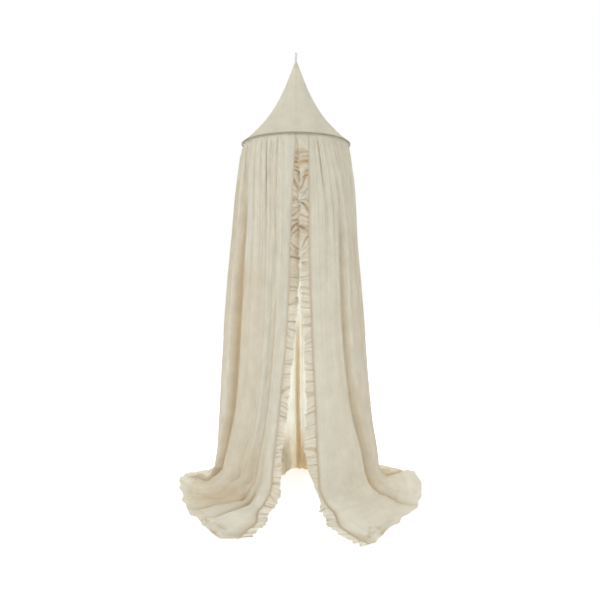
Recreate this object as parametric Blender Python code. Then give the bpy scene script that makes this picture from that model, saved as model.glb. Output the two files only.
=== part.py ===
"""Bed canopy in plain muslin: a hanging loop, a pointed cone top, a slim hoop and one gathered
skirt, open at the front, whose hem trails on the floor. A ruffle runs down each opening edge.

Heights below are above the floor. Angles are in degrees round the hoop, 0 at the front and growing
to the left, so 90 is the left side, 180 the back and 270 the right side. The model's own zero is
the point where the loop bears on its hook, and the opening faces -Y.
"""

import math
from collections import namedtuple

import bmesh
import bpy
import numpy as np

# Sizes in metres
HOOK_HEIGHT = 2.070
HOOP_HEIGHT = 1.637
HOOP_OUTER_RADIUS = 0.2576
HOOP_TUBE_RADIUS = 0.0035
CONE_HEIGHT = 0.388
CLOTH_THICKNESS = 0.0016
RUFFLE_THICKNESS = 0.0014
SEAM_GAP = 0.0005
BAND_RADIUS = 0.2491
CORD_RADIUS = 0.0012
LOOP_WIDTH = 0.0054
LOOP_SWAY = 0.0016
BACK_GATHERS = 24
BACK_GATHERS_START = 82.0
BACK_GATHERS_END = 271.0
GATHER_DEPTH = 0.0105
GATHER_WIDTH = 0.0065
GATHER_REACH = 0.018
SWELL_DEPTH = 0.0055
EDGE_FLAT = 2.0
EDGE_FADE = 12.0
RUFFLE_WIDTH = 0.044
RUFFLE_TUCK = 0.008
RUFFLE_GAP = 0.0015
RUFFLE_WAVE = 0.0075
RUFFLE_WAVES = 50
FLOOR_CLEARANCE = 0.0004
FLOOR_SOFTNESS = 0.0025
HEM_HEIGHT = 0.0056

# Shape of one fold: how round its crease is, and how high and how far out its shoulders stand
CREASE_ROUNDNESS = 0.6
GATHER_ROUNDNESS = 0.35
SHOULDER_HEIGHT = 0.30
SHOULDER_PLACE = 1.9

# Grid of each solid
HOOP_SEGMENTS = 48
HOOP_SIDES = 6
CONE_SEGMENTS = 48
CORD_SIDES = 5
SKIRT_COLUMNS = 148
FINE_COLUMNS = 1393
EDGE_COLUMNS = 10
COLUMNS_PER_WAVE = 3

# Width of the skirt at the hoop, in degrees
SKIRT_SPAN = 348.0

# Rows of the skirt. Part 0 to 1 hangs, 1 to 2 bends to the floor, 2 to 3 lies on it.
SKIRT_ROWS = (
    -0.005, 0.006, 0.032, 0.075, 0.14, 0.24, 0.37, 0.52, 0.67, 0.82, 0.93, 1.04, 1.3,
    1.6, 1.9, 2.25, 2.65, 3.0,
)

# Outline of the cone: height above the hoop, radius
Outline = namedtuple("Outline", "height radius")
CONE_OUTLINE = (
    Outline(0.388, 0.0056),
    Outline(0.310, 0.0355),
    Outline(0.225, 0.0730),
    Outline(0.134, 0.1270),
    Outline(0.077, 0.1745),
    Outline(0.032, 0.2190),
    Outline(0.0060, 0.2491),
)

# Radius of the hanging skirt on each side
Level = namedtuple("Level", "height front left back right")
LEVELS = (
    Level(1.633, 0.2459, 0.2459, 0.2459, 0.2459),
    Level(1.619, 0.2515, 0.2515, 0.2515, 0.2515),
    Level(1.571, 0.2600, 0.2640, 0.2600, 0.2600),
    Level(1.476, 0.2690, 0.2780, 0.2690, 0.2730),
    Level(1.381, 0.2740, 0.2900, 0.2750, 0.2790),
    Level(1.190, 0.2790, 0.3050, 0.2820, 0.2870),
    Level(1.000, 0.2830, 0.3260, 0.2880, 0.3010),
    Level(0.809, 0.2860, 0.3400, 0.2930, 0.3150),
    Level(0.619, 0.2880, 0.3500, 0.2940, 0.3300),
    Level(0.428, 0.2890, 0.3610, 0.2920, 0.3480),
    Level(0.238, 0.2890, 0.3710, 0.2900, 0.3760),
    Level(0.120, 0.2890, 0.3850, 0.2880, 0.3900),
    Level(0.000, 0.2890, 0.3950, 0.2880, 0.4000),
)

# How the cloth turns on to the floor, by angle: side mixes the front or back radius with that of
# the left or right, bend is where the turn starts, reach its width, rest the height behind it
Turn = namedtuple("Turn", "angle side bend reach rest")
TURNS = (
    Turn(8.0, 0.0, 0.075, 0.055, 0.0056),
    Turn(32.0, 0.45, 0.120, 0.070, 0.040),
    Turn(62.0, 1.0, 0.145, 0.075, 0.046),
    Turn(106.0, 1.0, 0.142, 0.075, 0.030),
    Turn(122.0, 0.8, 0.130, 0.070, 0.012),
    Turn(150.0, 0.3, 0.100, 0.060, 0.010),
    Turn(172.0, 0.0, 0.056, 0.030, 0.006),
    Turn(192.0, 0.0, 0.056, 0.030, 0.006),
    Turn(212.0, 0.3, 0.100, 0.060, 0.020),
    Turn(250.0, 1.0, 0.145, 0.075, 0.040),
    Turn(298.0, 1.0, 0.145, 0.075, 0.042),
    Turn(324.0, 0.45, 0.120, 0.070, 0.036),
    Turn(345.0, 0.0, 0.075, 0.055, 0.0056),
)

# Outline of the hem on the floor
Hem = namedtuple("Hem", "angle radius")
HEM = (
    Hem(16.0, 0.606),
    Hem(20.5, 0.640),
    Hem(25.0, 0.668),
    Hem(30.8, 0.640),
    Hem(36.6, 0.612),
    Hem(47.5, 0.576),
    Hem(58.0, 0.551),
    Hem(70.0, 0.538),
    Hem(82.0, 0.537),
    Hem(96.0, 0.574),
    Hem(107.0, 0.606),
    Hem(111.0, 0.608),
    Hem(115.0, 0.574),
    Hem(121.0, 0.550),
    Hem(132.0, 0.556),
    Hem(155.0, 0.600),
    Hem(183.0, 0.625),
    Hem(208.0, 0.605),
    Hem(232.0, 0.575),
    Hem(244.0, 0.618),
    Hem(250.0, 0.646),
    Hem(256.0, 0.640),
    Hem(263.0, 0.620),
    Hem(284.0, 0.592),
    Hem(298.0, 0.596),
    Hem(310.0, 0.592),
    Hem(321.0, 0.628),
    Hem(328.0, 0.650),
    Hem(333.5, 0.685),
    Hem(338.4, 0.706),
    Hem(343.0, 0.674),
)

# Lines that run down the cloth: the angle of each at the hoop, at 1.25, 0.85 and 0.45 m, at the
# start and end of the turn, half way over the floor and at the hem. Depth is how far the fold
# there goes in when hanging, sunk the same on the floor, width its half width and starts the part
# of the drop it begins at. Lines with no depth only guide the cloth.
Line = namedtuple("Line", "name hoop high middle low bend foot floor hem depth sunk width starts")
LINES = (
    Line("left_edge", 0, 4.3, 7.1, 13.8, 19.5, 23.0, 18.5, 19.5, 0.0, 0.0, 0.0, 0.0),
    Line("left_corner", 8, 9.5, 13.0, 20.0, 26.0, 33.0, 38.5, 46.5, 0.010, 0.034, 0.016, 0.70),
    Line("left_front", 15, 15.0, 18.0, 24.2, 33.0, 42.0, 51.0, 58.0, 0.014, 0.034, 0.017, 0.35),
    Line("left_pleat", 35, 30.5, 30.0, 34.0, 45.0, 62.0, 74.0, 79.0, 0.006, 0.006, 0.020, 0.05),
    Line("left_deep", 62, 55.5, 57.0, 62.0, 74.0, 97.0, 103.0, 107.0, 0.032, 0.036, 0.019, 0.02),
    Line("left_roll", 82, 79.0, 82.0, 87.0, 99.0, 110.0, 112.5, 114.0, 0.0, 0.0, 0.0, 0.0),
    Line("left_back", 108, 107, 108, 110, 115, 120, 122, 124, 0.026, 0.018, 0.022, 0.10),
    Line("back_left", 146, 148, 148, 147, 147, 147, 147, 146, 0.024, 0.016, 0.022, 0.20),
    Line("back_fold", 183, 183, 182.8, 182.5, 182.5, 182.5, 182, 182, 0.034, 0.004, 0.012, 0.10),
    Line("back_right", 220, 216, 216, 217, 217, 216, 216, 215, 0.024, 0.016, 0.022, 0.20),
    Line("right_back", 258, 252, 250, 248, 244, 238, 238, 236, 0.022, 0.014, 0.020, 0.10),
    Line("right_roll", 282, 275, 272, 268, 260, 250, 249, 246, 0.0, 0.0, 0.0, 0.0),
    Line("right_side", 301, 293, 289, 284, 272, 258, 257, 253, 0.024, 0.032, 0.014, 0.22),
    Line("right_deep", 325, 312, 313, 308.5, 300, 297, 299.5, 296, 0.030, 0.038, 0.019, 0.15),
    Line("right_edge", 348, 348.7, 346.9, 343.5, 341, 336.5, 341.0, 338.4, 0.0, 0.0, 0.0, 0.0),
)
LINE_HEIGHTS = (1.631, 1.25, 0.85, 0.45)

# Gathers round the front: place at the hoop in degrees, strength and the part of the drop it ends at
Gather = namedtuple("Gather", "place strength end")
FRONT_GATHERS = (
    Gather(6.5, 0.60, 0.20),
    Gather(11.0, 1.00, 0.55),
    Gather(18.5, 0.55, 0.20),
    Gather(25.5, 0.80, 0.30),
    Gather(30.5, 1.20, 0.80),
    Gather(37.5, 0.85, 0.25),
    Gather(45.0, 0.80, 0.30),
    Gather(52.5, 0.70, 0.15),
    Gather(70.5, 0.90, 0.35),
    Gather(77.0, 0.70, 0.25),
    Gather(278.5, 0.80, 0.40),
    Gather(286.0, 1.00, 0.50),
    Gather(293.0, 0.80, 0.30),
    Gather(299.5, 1.10, 0.45),
    Gather(307.0, 1.10, 0.35),
    Gather(315.5, 1.00, 0.40),
    Gather(332.0, 0.80, 0.20),
    Gather(337.5, 0.75, 0.25),
    Gather(341.8, 1.00, 0.35),
)

# Broad uneven swells round the skirt: waves in each 360 degrees of cloth, shift and share
Swell = namedtuple("Swell", "waves shift share")
SWELLS = (
    Swell(21.0, 0.7, 1.0),
    Swell(13.4, 2.1, 0.8),
    Swell(29.3, 4.0, 0.6),
)

COLOURS = {
    "muslin": (0.62, 0.58, 0.47, 1.0),
    "taupe": (0.31, 0.28, 0.20, 1.0),
    "cord": (0.66, 0.66, 0.60, 1.0),
}


def clear_scene():
    """Start from an empty file."""
    for item in list(bpy.data.objects):
        bpy.data.objects.remove(item, do_unlink=True)


def material(name, colour):
    """A plain rough material."""
    made = bpy.data.materials.new(name)
    made.use_nodes = True
    shader = made.node_tree.nodes["Principled BSDF"]
    shader.inputs["Base Color"].default_value = colour
    shader.inputs["Roughness"].default_value = 0.9
    return made


def add_object(name, points, faces, colour):
    """One closed mesh with its faces turned outwards, shifted so that the hook is at zero."""
    mesh = bpy.data.meshes.new(name)
    shifted = np.asarray(points, dtype=float) - np.array([0.0, 0.0, HOOK_HEIGHT])
    mesh.from_pydata([tuple(p) for p in shifted], [], faces)
    made = bpy.data.objects.new(name, mesh)
    bpy.context.scene.collection.objects.link(made)
    editable = bmesh.new()
    editable.from_mesh(mesh)
    bmesh.ops.recalc_face_normals(editable, faces=editable.faces)
    editable.to_mesh(mesh)
    editable.free()
    mesh.materials.append(material(name + "_" + colour, COLOURS[colour]))
    return made


def grid_faces(rows, columns, closed_rows=False, closed_columns=False):
    """Four-sided faces over a grid of points."""
    faces = []
    for i in range(rows if closed_rows else rows - 1):
        for j in range(columns if closed_columns else columns - 1):
            a, b = i, (i + 1) % rows
            c, d = j, (j + 1) % columns
            faces.append((a * columns + c, b * columns + c, b * columns + d, a * columns + d))
    return faces


def add_sheet(name, middle, normals, thickness, colour, closed=False):
    """A thin solid on both sides of a grid of points, with its open edges closed."""
    rows, columns = middle.shape[:2]
    outer = (middle + normals * thickness / 2).reshape(-1, 3)
    inner = (middle - normals * thickness / 2).reshape(-1, 3)
    flat = middle.reshape(-1, 3)
    count = rows * columns
    faces = []
    for a, b, c, d in grid_faces(rows, columns, closed_rows=closed):
        # Both sides are split along the same diagonal, so that they stay parallel
        if np.linalg.norm(flat[a] - flat[c]) < np.linalg.norm(flat[b] - flat[d]):
            halves = ((a, b, c), (a, c, d))
        else:
            halves = ((a, b, d), (b, c, d))
        for half in halves:
            faces.append(half)
            faces.append(tuple(count + k for k in reversed(half)))
    border = []
    if not closed:
        border += [(j, j + 1) for j in range(columns - 1)]
        last = (rows - 1) * columns
        border += [(last + j, last + j + 1) for j in range(columns - 1)]
    for i in range(rows if closed else rows - 1):
        a, b = i * columns, (i + 1) % rows * columns
        border += [(a, b), (a + columns - 1, b + columns - 1)]
    for a, b in border:
        faces.append((a, b, count + b, count + a))
    return add_object(name, np.vstack([outer, inner]), faces, colour)


def add_tube(name, path, radius, sides, colour, closed=True):
    """A round bar along a path of points."""
    path = np.asarray(path, dtype=float)
    ahead = np.roll(path, -1, axis=0) - np.roll(path, 1, axis=0)
    ahead /= np.linalg.norm(ahead, axis=1)[:, None]
    if closed and np.ptp(path[:, 2]) < radius:
        side = np.cross(ahead, (0.0, 0.0, 1.0))
    else:
        side = np.tile((0.0, 1.0, 0.0), (len(path), 1))
    side /= np.linalg.norm(side, axis=1)[:, None]
    up = np.cross(side, ahead)
    turn = np.linspace(0.0, 2 * math.pi, sides, endpoint=False)
    ring = np.cos(turn)[None, :, None] * side[:, None] + np.sin(turn)[None, :, None] * up[:, None]
    points = path[:, None] + radius * ring
    faces = grid_faces(len(path), sides, closed_rows=True, closed_columns=True)
    return add_object(name, points.reshape(-1, 3), faces, colour)


def column(rows, name):
    """One named column of a table."""
    return np.array([getattr(row, name) for row in rows])


def smooth_step(value, start, end):
    """0 before start, 1 after end and an even rise between them."""
    share = np.clip((value - start) / (end - start), 0.0, 1.0)
    return share * share * (3 - 2 * share)


def even_curve(knots, values, at):
    """A curve through the values that never swings past them. values and at have a row a knot."""
    knots = np.asarray(knots, dtype=float)
    step = np.diff(knots)[:, None]
    slope = np.diff(values, axis=0) / step
    middle = slope[:-1] * slope[1:]
    weight = 2 * step[1:] + step[:-1]
    other = step[1:] + 2 * step[:-1]
    safe = np.where(middle > 0, slope[:-1], 1.0)
    safe_next = np.where(middle > 0, slope[1:], 1.0)
    inner = np.where(middle > 0, (weight + other) / (weight / safe + other / safe_next), 0.0)
    tangent = np.vstack([slope[:1], inner, slope[-1:]])
    place = np.clip(np.searchsorted(knots, at, side="right") - 1, 0, len(knots) - 2)
    width = (knots[place + 1] - knots[place])[:, None]
    t = ((at - knots[place])[:, None]) / width
    h00 = (1 + 2 * t) * (1 - t) ** 2
    h10 = t * (1 - t) ** 2
    h01 = t * t * (3 - 2 * t)
    h11 = t * t * (t - 1)
    return (
        h00 * values[place]
        + h10 * width * tangent[place]
        + h01 * values[place + 1]
        + h11 * width * tangent[place + 1]
    )


def by_angle(rows, name, angle):
    """A named column of a table of angles, read with soft corners."""
    return sum(
        np.interp(angle + shift, column(rows, "angle"), column(rows, name))
        for shift in (-3.0, 0.0, 3.0)
    ) / 3


def hanging_radius(angle, height):
    """Plan radius of the hanging cloth."""
    side = by_angle(TURNS, "side", angle)
    back = smooth_step(angle, 100.0, 140.0) * (1 - smooth_step(angle, 220.0, 260.0))
    right = smooth_step(angle, 170.0, 200.0)
    levels = column(LEVELS, "height")[::-1]
    profile = {
        name: np.interp(height, levels, column(LEVELS, name)[::-1])
        for name in ("front", "left", "back", "right")
    }
    middle = profile["front"] * (1 - back) + profile["back"] * back
    flank = profile["left"] * (1 - right) + profile["right"] * right
    return middle * (1 - side) + flank * side


def soft_interp(at, knots, values, reach):
    """Straight lines through a table with their corners softened, true at both ends."""
    shifts = np.linspace(-reach, reach, 7)
    total = np.zeros(len(at))
    for shift in shifts:
        moved = at + shift
        low = 2 * values[0] - np.interp(2 * knots[0] - moved, knots, values)
        high = 2 * values[-1] - np.interp(2 * knots[-1] - moved, knots, values)
        inside = np.interp(moved, knots, values)
        total += np.where(moved < knots[0], low, np.where(moved > knots[-1], high, inside))
    return total / len(shifts)


def skirt_angles(place, part):
    """Angle of the cloth for each place along the hoop, in degrees, and each part of its drop."""
    knots = column(LINES, "hoop")
    names = ("hoop", "high", "middle", "low", "bend", "foot", "floor", "hem")
    levels = [soft_interp(place, knots, column(LINES, name), 5.0) for name in names]
    top = LINE_HEIGHTS[0]
    drop = [(top - height) / (top - 0.12) for height in LINE_HEIGHTS]
    return even_curve(drop + [1.0, 2.0, 2.5, 3.0], np.array(levels), part)


def skirt_base(place, part):
    """Points of the smooth skirt, without folds: a row for each part, a column for each place."""
    angle = skirt_angles(place, part)
    bend = by_angle(TURNS, "bend", angle)
    reach = by_angle(TURNS, "reach", angle)
    rest = by_angle(TURNS, "rest", angle)
    hem = np.interp(angle, column(HEM, "angle"), column(HEM, "radius"))
    part = np.broadcast_to(part[:, None], angle.shape)
    hang = np.minimum(part, 1.0)
    turn = np.clip(part - 1.0, 0.0, 1.0) * math.pi / 2
    lie = np.clip(part - 2.0, 0.0, 1.0)
    top = LINE_HEIGHTS[0]
    height = top + (bend - top) * hang
    radius = hanging_radius(angle, height)
    radius = radius + reach * (1 - np.cos(turn))
    height = height - (bend - rest) * np.sin(turn)
    radius = radius + (hem - radius) * lie
    height = height - (rest - HEM_HEIGHT) * lie**1.5
    turned = np.radians(angle)
    return np.stack([-radius * np.sin(turned), -radius * np.cos(turned), height], axis=2)


def unit(vectors):
    """Vectors scaled to length one."""
    return vectors / np.linalg.norm(vectors, axis=-1, keepdims=True)


def slopes(surface, place, part):
    """Directions along the hoop and down the cloth, by small steps."""
    across = surface(place + 0.2, part) - surface(place - 0.2, part)
    down = surface(place, part + 0.004) - surface(place, part - 0.004)
    return across / 0.4, down / 0.008


def trough(distance, width, roundness):
    """1 in the bottom of a fold and 0 away from it, with a more or less round crease."""
    soft = roundness * width
    return np.exp(-(np.sqrt(distance**2 + soft**2) - soft) / width)


def gather_table():
    """Place, strength and end of each gather, uneven but always the same."""
    chance = np.random.default_rng(23)
    pitch = (BACK_GATHERS_END - BACK_GATHERS_START) / BACK_GATHERS
    order = np.arange(BACK_GATHERS) + 0.5 + chance.uniform(-0.24, 0.24, BACK_GATHERS)
    place = np.append(column(FRONT_GATHERS, "place"), BACK_GATHERS_START + order * pitch)
    strength = chance.uniform(0.55, 1.25, BACK_GATHERS)
    strength = np.append(column(FRONT_GATHERS, "strength"), strength)
    ends = np.append(column(FRONT_GATHERS, "end"), chance.uniform(0.25, 0.75, BACK_GATHERS))
    return place, strength, ends


def fold_depth(place, part, across):
    """How far the cloth stands in from the smooth skirt, below zero where it stands out."""
    part = part[:, None]
    size = np.linalg.norm(across, axis=2)
    step = (size[:, 1:] + size[:, :-1]) / 2 * np.diff(place)
    arc = np.concatenate([np.zeros((len(part), 1)), np.cumsum(step, axis=1)], axis=1)

    def away(spot):
        """Distance along the cloth from one place, for each row."""
        return arc - np.array([np.interp(spot, place, row) for row in arc])[:, None]

    total = np.zeros(size.shape)
    calm = np.ones(size.shape)
    on_floor = smooth_step(part, 1.0, 2.0)
    fade_hem = 1 - 0.85 * smooth_step(part, 2.2, 3.0)
    for line in LINES:
        if line.width == 0.0:
            continue
        distance = away(line.hoop)
        strong = line.depth * (1 - on_floor) + line.sunk * on_floor * fade_hem
        strong = strong * smooth_step(part, line.starts, line.starts + 0.35)
        shoulder = np.exp(-((np.abs(distance) / line.width - SHOULDER_PLACE) ** 2))
        crease = trough(distance, line.width, CREASE_ROUNDNESS)
        total += strong * (crease - SHOULDER_HEIGHT * shoulder)
        near = trough(distance, 1.6 * line.width, CREASE_ROUNDNESS)
        calm *= 1 - near * smooth_step(part, line.starts, 0.6)
    strong = SWELL_DEPTH * smooth_step(part, 0.04, 0.5) * (1 - 0.5 * on_floor) * fade_hem
    for swell in SWELLS:
        total += strong * swell.share * np.sin(np.radians(place * swell.waves) + swell.shift)
    rise = smooth_step(part, 0.004, 0.05)
    for spot, power, end in zip(*gather_table()):
        distance = away(spot)
        fade = 1 - 0.85 * smooth_step(part, end, end + 0.4)
        crease = trough(distance, GATHER_WIDTH, GATHER_ROUNDNESS) - SHOULDER_HEIGHT
        window = np.exp(-((distance / GATHER_REACH) ** 4))
        total += GATHER_DEPTH * power * rise * fade * crease * window * calm * fade_hem
    edge = np.minimum(place, SKIRT_SPAN - place)[None, :]
    return total * smooth_step(edge, EDGE_FLAT, EDGE_FADE)


def skirt_surface(place, part):
    """Points of the skirt's middle with all its folds."""
    base = skirt_base(place, part)
    across, down = slopes(skirt_base, place, part)
    outward = unit(np.cross(across, down))
    depth = fold_depth(place, part, across)
    points = base - outward * depth[:, :, None]
    least = CLOTH_THICKNESS / 2 + FLOOR_CLEARANCE
    over = (points[:, :, 2] - least) / FLOOR_SOFTNESS
    soft = least + FLOOR_SOFTNESS * np.log1p(np.exp(np.minimum(over, 9.0)))
    points[:, :, 2] = np.where(over < 4.0, soft, points[:, :, 2])
    return points


def surface_normals(points):
    """Normals of a grid of points, outwards and upwards."""
    across = np.gradient(points, axis=1)
    down = np.gradient(points, axis=0)
    return unit(np.cross(across, down))


def bend_columns(surface, count, margin):
    """Indices of the columns of a fine grid that follow its bends best. None lies within margin
    of either edge but the edge itself and the one at the margin."""
    last = surface.shape[1] - 1
    kept = [0, margin, last - margin, last]
    every = np.arange(margin, last - margin + 1)
    while len(kept) < count:
        kept.sort()
        after = np.clip(np.searchsorted(kept, every, side="right"), 1, len(kept) - 1)
        start = surface[:, np.array(kept)[after - 1]]
        chord = unit(surface[:, np.array(kept)[after]] - start)
        off = surface[:, every] - start
        off = off - chord * np.sum(off * chord, axis=2, keepdims=True)
        kept.append(int(every[np.argmax(np.linalg.norm(off, axis=2).max(axis=0))]))
    return np.array(sorted(kept))


def skirt_grid():
    """Places, parts, points and normals of the skirt as built."""
    place = np.linspace(0.0, SKIRT_SPAN, FINE_COLUMNS)
    part = np.array(SKIRT_ROWS)
    fine = skirt_surface(place, part)
    columns = bend_columns(fine, SKIRT_COLUMNS, EDGE_COLUMNS)
    middle = fine[:, columns]
    return part, middle, surface_normals(middle)


def along(rows, part, at):
    """A column of points read between its rows."""
    return np.stack([np.interp(at, part, rows[:, k]) for k in range(3)], axis=1)


def build_ruffle(name, skirt, first, second, lift, set_in, lean, seed):
    """A ruffle tucked behind one opening edge, with its free edge waved. first and second are the
    skirt's columns at that edge and beside it."""
    chance = np.random.default_rng(seed)
    skirt_part, points, normals = skirt
    count = RUFFLE_WAVES * COLUMNS_PER_WAVE + 1
    start, end = SKIRT_ROWS[0], SKIRT_ROWS[-1]
    fine = np.linspace(start, end, 800)
    step = np.diff(along(points[:, first], skirt_part, fine), axis=0)
    length = np.concatenate([[0.0], np.cumsum(np.linalg.norm(step, axis=1))])
    part = np.interp(np.linspace(0.0, length[-1], count), length, fine)
    for row in skirt_part:
        part[np.argmin(np.abs(part - row))] = row
    edge = along(points[:, first], skirt_part, part)
    inside = along(points[:, second], skirt_part, part)
    outward = unit(along(normals[:, first], skirt_part, part))
    inward_gap = np.linalg.norm(inside - edge, axis=1)[:, None]
    off = edge - inside
    off = unit(off - outward * np.sum(off * outward, axis=1)[:, None])
    wave = np.linspace(0.0, RUFFLE_WAVES, count)
    wave = wave + 0.22 * np.sin(wave * 0.9 + chance.uniform(0, 6)) * np.sin(wave * 0.37)
    size = RUFFLE_WAVE * (0.75 + 0.45 * np.sin(wave * 0.61 + 1.0) * np.sin(wave * 1.7))
    curl = size * np.sin(2 * math.pi * wave)
    behind = -(CLOTH_THICKNESS / 2 + RUFFLE_THICKNESS / 2 + SEAM_GAP)
    begin = smooth_step(part, 0.0, 0.05)
    stand = (lift * begin - set_in) * (1 - smooth_step(part, 0.38, 0.62))
    bow = (1 - smooth_step(part, 0.7, 1.2)) / (2 * HOOP_OUTER_RADIUS)
    floor = smooth_step(part, 1.6, 2.1)
    tucked = edge + (inside - edge) * RUFFLE_TUCK / inward_gap
    bent = smooth_step(part, 0.6, 0.98) * (1 - smooth_step(part, 1.3, 2.0))
    tilt = np.radians(lean) * bent
    rows = [tucked + outward * behind, edge + off * RUFFLE_GAP + outward * behind]
    for share, waved in ((0.42, 0.62), (1.0, 1.0)):
        reach = share * RUFFLE_WIDTH * (1 + 0.10 * waved * np.sin(wave * 1.3))
        height = behind + waved * (curl * begin + stand + floor * (np.abs(size) + 0.002))
        height = height - bow * reach**2 - reach * np.sin(tilt)
        reach = reach * np.cos(tilt)
        rows.append(edge + off * reach[:, None] + outward * height[:, None])
    middle = np.array(rows)
    least = RUFFLE_THICKNESS / 2 + FLOOR_CLEARANCE
    middle[:, :, 2] = np.maximum(middle[:, :, 2], least)
    return add_sheet(name, middle, surface_normals(middle), RUFFLE_THICKNESS, "muslin")


def build_cone():
    """The pointed top: a thin cone whose lower edge stands inside the hoop."""
    turn = np.linspace(0.0, 2 * math.pi, CONE_SEGMENTS, endpoint=False)
    height = np.append(column(CONE_OUTLINE, "height"), [0.0])
    radius = np.append(column(CONE_OUTLINE, "radius"), [BAND_RADIUS])
    height = height + HOOP_HEIGHT
    points = np.stack(
        [
            -radius[None, :] * np.sin(turn)[:, None],
            -radius[None, :] * np.cos(turn)[:, None],
            np.broadcast_to(height, (CONE_SEGMENTS, len(height))),
        ],
        axis=2,
    )
    slope = np.gradient(np.stack([radius, height], axis=1), axis=0)
    normal = unit(np.stack([-slope[:, 1], slope[:, 0]], axis=1))
    normals = np.stack(
        [
            -normal[None, :, 0] * np.sin(turn)[:, None],
            -normal[None, :, 0] * np.cos(turn)[:, None],
            np.broadcast_to(normal[:, 1], (CONE_SEGMENTS, len(height))),
        ],
        axis=2,
    )
    return add_sheet("cone_top", points, normals, CLOTH_THICKNESS, "muslin", closed=True)


def build_hoop():
    """The slim hoop that holds the cloth open."""
    turn = np.linspace(0.0, 2 * math.pi, HOOP_SEGMENTS, endpoint=False)
    radius = HOOP_OUTER_RADIUS - HOOP_TUBE_RADIUS
    path = np.stack([radius * np.cos(turn), radius * np.sin(turn), np.full(turn.shape, HOOP_HEIGHT)], axis=1)
    return add_tube("hoop", path, HOOP_TUBE_RADIUS, HOOP_SIDES, "taupe")


def build_loop():
    """The hanging loop, a thin cord that comes out of the cone's point."""
    half = LOOP_WIDTH / 2
    low = HOOP_HEIGHT + CONE_HEIGHT - 0.022
    high = HOOK_HEIGHT + CORD_RADIUS - half
    arc = np.linspace(0.0, math.pi, 7)
    side = np.linspace(0.0, 1.0, 8)[1:-1]
    across = np.concatenate([half * np.cos(arc), -half + 0 * side, -half * np.cos(arc), half + 0 * side])
    rise = high - low
    height = np.concatenate(
        [high + half * np.sin(arc), high - rise * side, low - half * np.sin(arc), low + rise * side]
    )
    share = np.clip((height - low) / rise - 0.36, 0.0, 0.64) / 0.64
    sway = -LOOP_SWAY * np.sin(2 * math.pi * share)
    path = np.stack([across + sway, 0 * across, height], axis=1)
    return add_tube("hanging_loop", path, CORD_RADIUS, CORD_SIDES, "cord")


def main():
    """Build all the pieces."""
    clear_scene()
    build_loop()
    build_cone()
    build_hoop()
    skirt = skirt_grid()
    add_sheet("skirt", skirt[1], skirt[2], CLOTH_THICKNESS, "muslin")
    build_ruffle("ruffle_left", skirt, 0, 1, -0.011, 0.006, 15.0, 5)
    build_ruffle("ruffle_right", skirt, -1, -2, 0.012, 0.0, 55.0, 9)


main()
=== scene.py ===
"""A hanging bed canopy in natural muslin: a twisted cord loop, a smooth pointed top, a slim covered
hoop, and a gathered skirt open at the front, with a ruffle down each opening edge and its hem
spread on the floor.

The skirt is drawn as a sheet that hangs from the hoop, turns on to the floor and lies there. A
place on it has an angle at the hoop, in degrees, 0 at the front and growing to the left, and a part
of its drop: 0 to 1 hangs, 1 to 2 turns to the floor and 2 to 3 lies on it. Heights in the tables
are above the floor, and zero in the scene is the point where the loop bears on its hook.
"""

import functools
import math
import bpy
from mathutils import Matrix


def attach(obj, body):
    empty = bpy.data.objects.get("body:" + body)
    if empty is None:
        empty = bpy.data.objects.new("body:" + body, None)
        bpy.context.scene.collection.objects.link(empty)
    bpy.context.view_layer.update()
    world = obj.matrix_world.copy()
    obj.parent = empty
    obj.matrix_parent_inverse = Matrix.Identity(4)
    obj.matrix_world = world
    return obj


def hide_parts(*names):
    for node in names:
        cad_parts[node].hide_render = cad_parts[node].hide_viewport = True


bl_info = {
    "name": "Muslin bed canopy",
    "version": (1, 0, 0),
    "blender": (4, 5, 0),
    "location": "View3D > Sidebar > Canopy",
    "description": "Builds a hanging muslin bed canopy with a ruffled front opening",
    "category": "Add Mesh",
}

from collections import namedtuple

import bpy
import numpy as np
from bpy.props import FloatProperty, FloatVectorProperty, IntProperty, PointerProperty
from mathutils import Vector

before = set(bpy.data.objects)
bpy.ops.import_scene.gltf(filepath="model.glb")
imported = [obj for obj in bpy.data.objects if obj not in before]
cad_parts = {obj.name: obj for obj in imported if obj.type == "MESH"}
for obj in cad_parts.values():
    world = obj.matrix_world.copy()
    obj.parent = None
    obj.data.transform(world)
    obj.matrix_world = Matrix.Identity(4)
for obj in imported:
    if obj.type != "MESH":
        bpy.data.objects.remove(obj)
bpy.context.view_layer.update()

# Sizes of the frame's solids, in metres, with heights above the floor
HOOK_HEIGHT = 2.070
HOOP_HEIGHT = 1.637
HOOP_OUTER_RADIUS = 0.2576
HOOP_TUBE_RADIUS = 0.0035
CONE_HEIGHT = 0.388
BAND_RADIUS = 0.2491
CORD_RADIUS = 0.0012
LOOP_WIDTH = 0.0054
LOOP_SWAY = 0.0016
LOOP_TUCK = 0.022
HEM_HEIGHT = 0.0056
RUFFLE_WIDTH = 0.044
RUFFLE_TUCK = 0.008

# The cord: turns of its twist in the whole loop, strands, and the share of the loop's height that
# hangs straight
CORD_TURNS = 17
CORD_STRANDS = 3
LOOP_STRAIGHT = 0.36

# The top: how far its cloth is pulled out of true, the height and half width of the raised seam,
# and half the width of the groove in it
CONE_PULL = 0.00015
SEAM_HEIGHT = 0.0007
SEAM_WIDTH = 0.0045
SEAM_GROOVE = 0.0011

# The hoop's cover, as shares of the tube's radius: the bar, its puckers and the groove of its seam
COVER_BAR = 0.84
COVER_PUCKER = 0.03
COVER_SEAM = 0.10

# The gathers under the hoop: how far the deepest go in, and their widths along the cloth
GATHER_DEPTH = 0.0085
GATHER_WIDTH = 0.0065
GATHER_REACH = 0.018
CREASE_WIDTH = 0.0026
FINE_GATHER_WIDTH = 0.0024

# How many gathers the back has and from where to where, in degrees
BACK_GATHERS = 24
BACK_GATHERS_START = 82.0
BACK_GATHERS_END = 271.0

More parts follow.
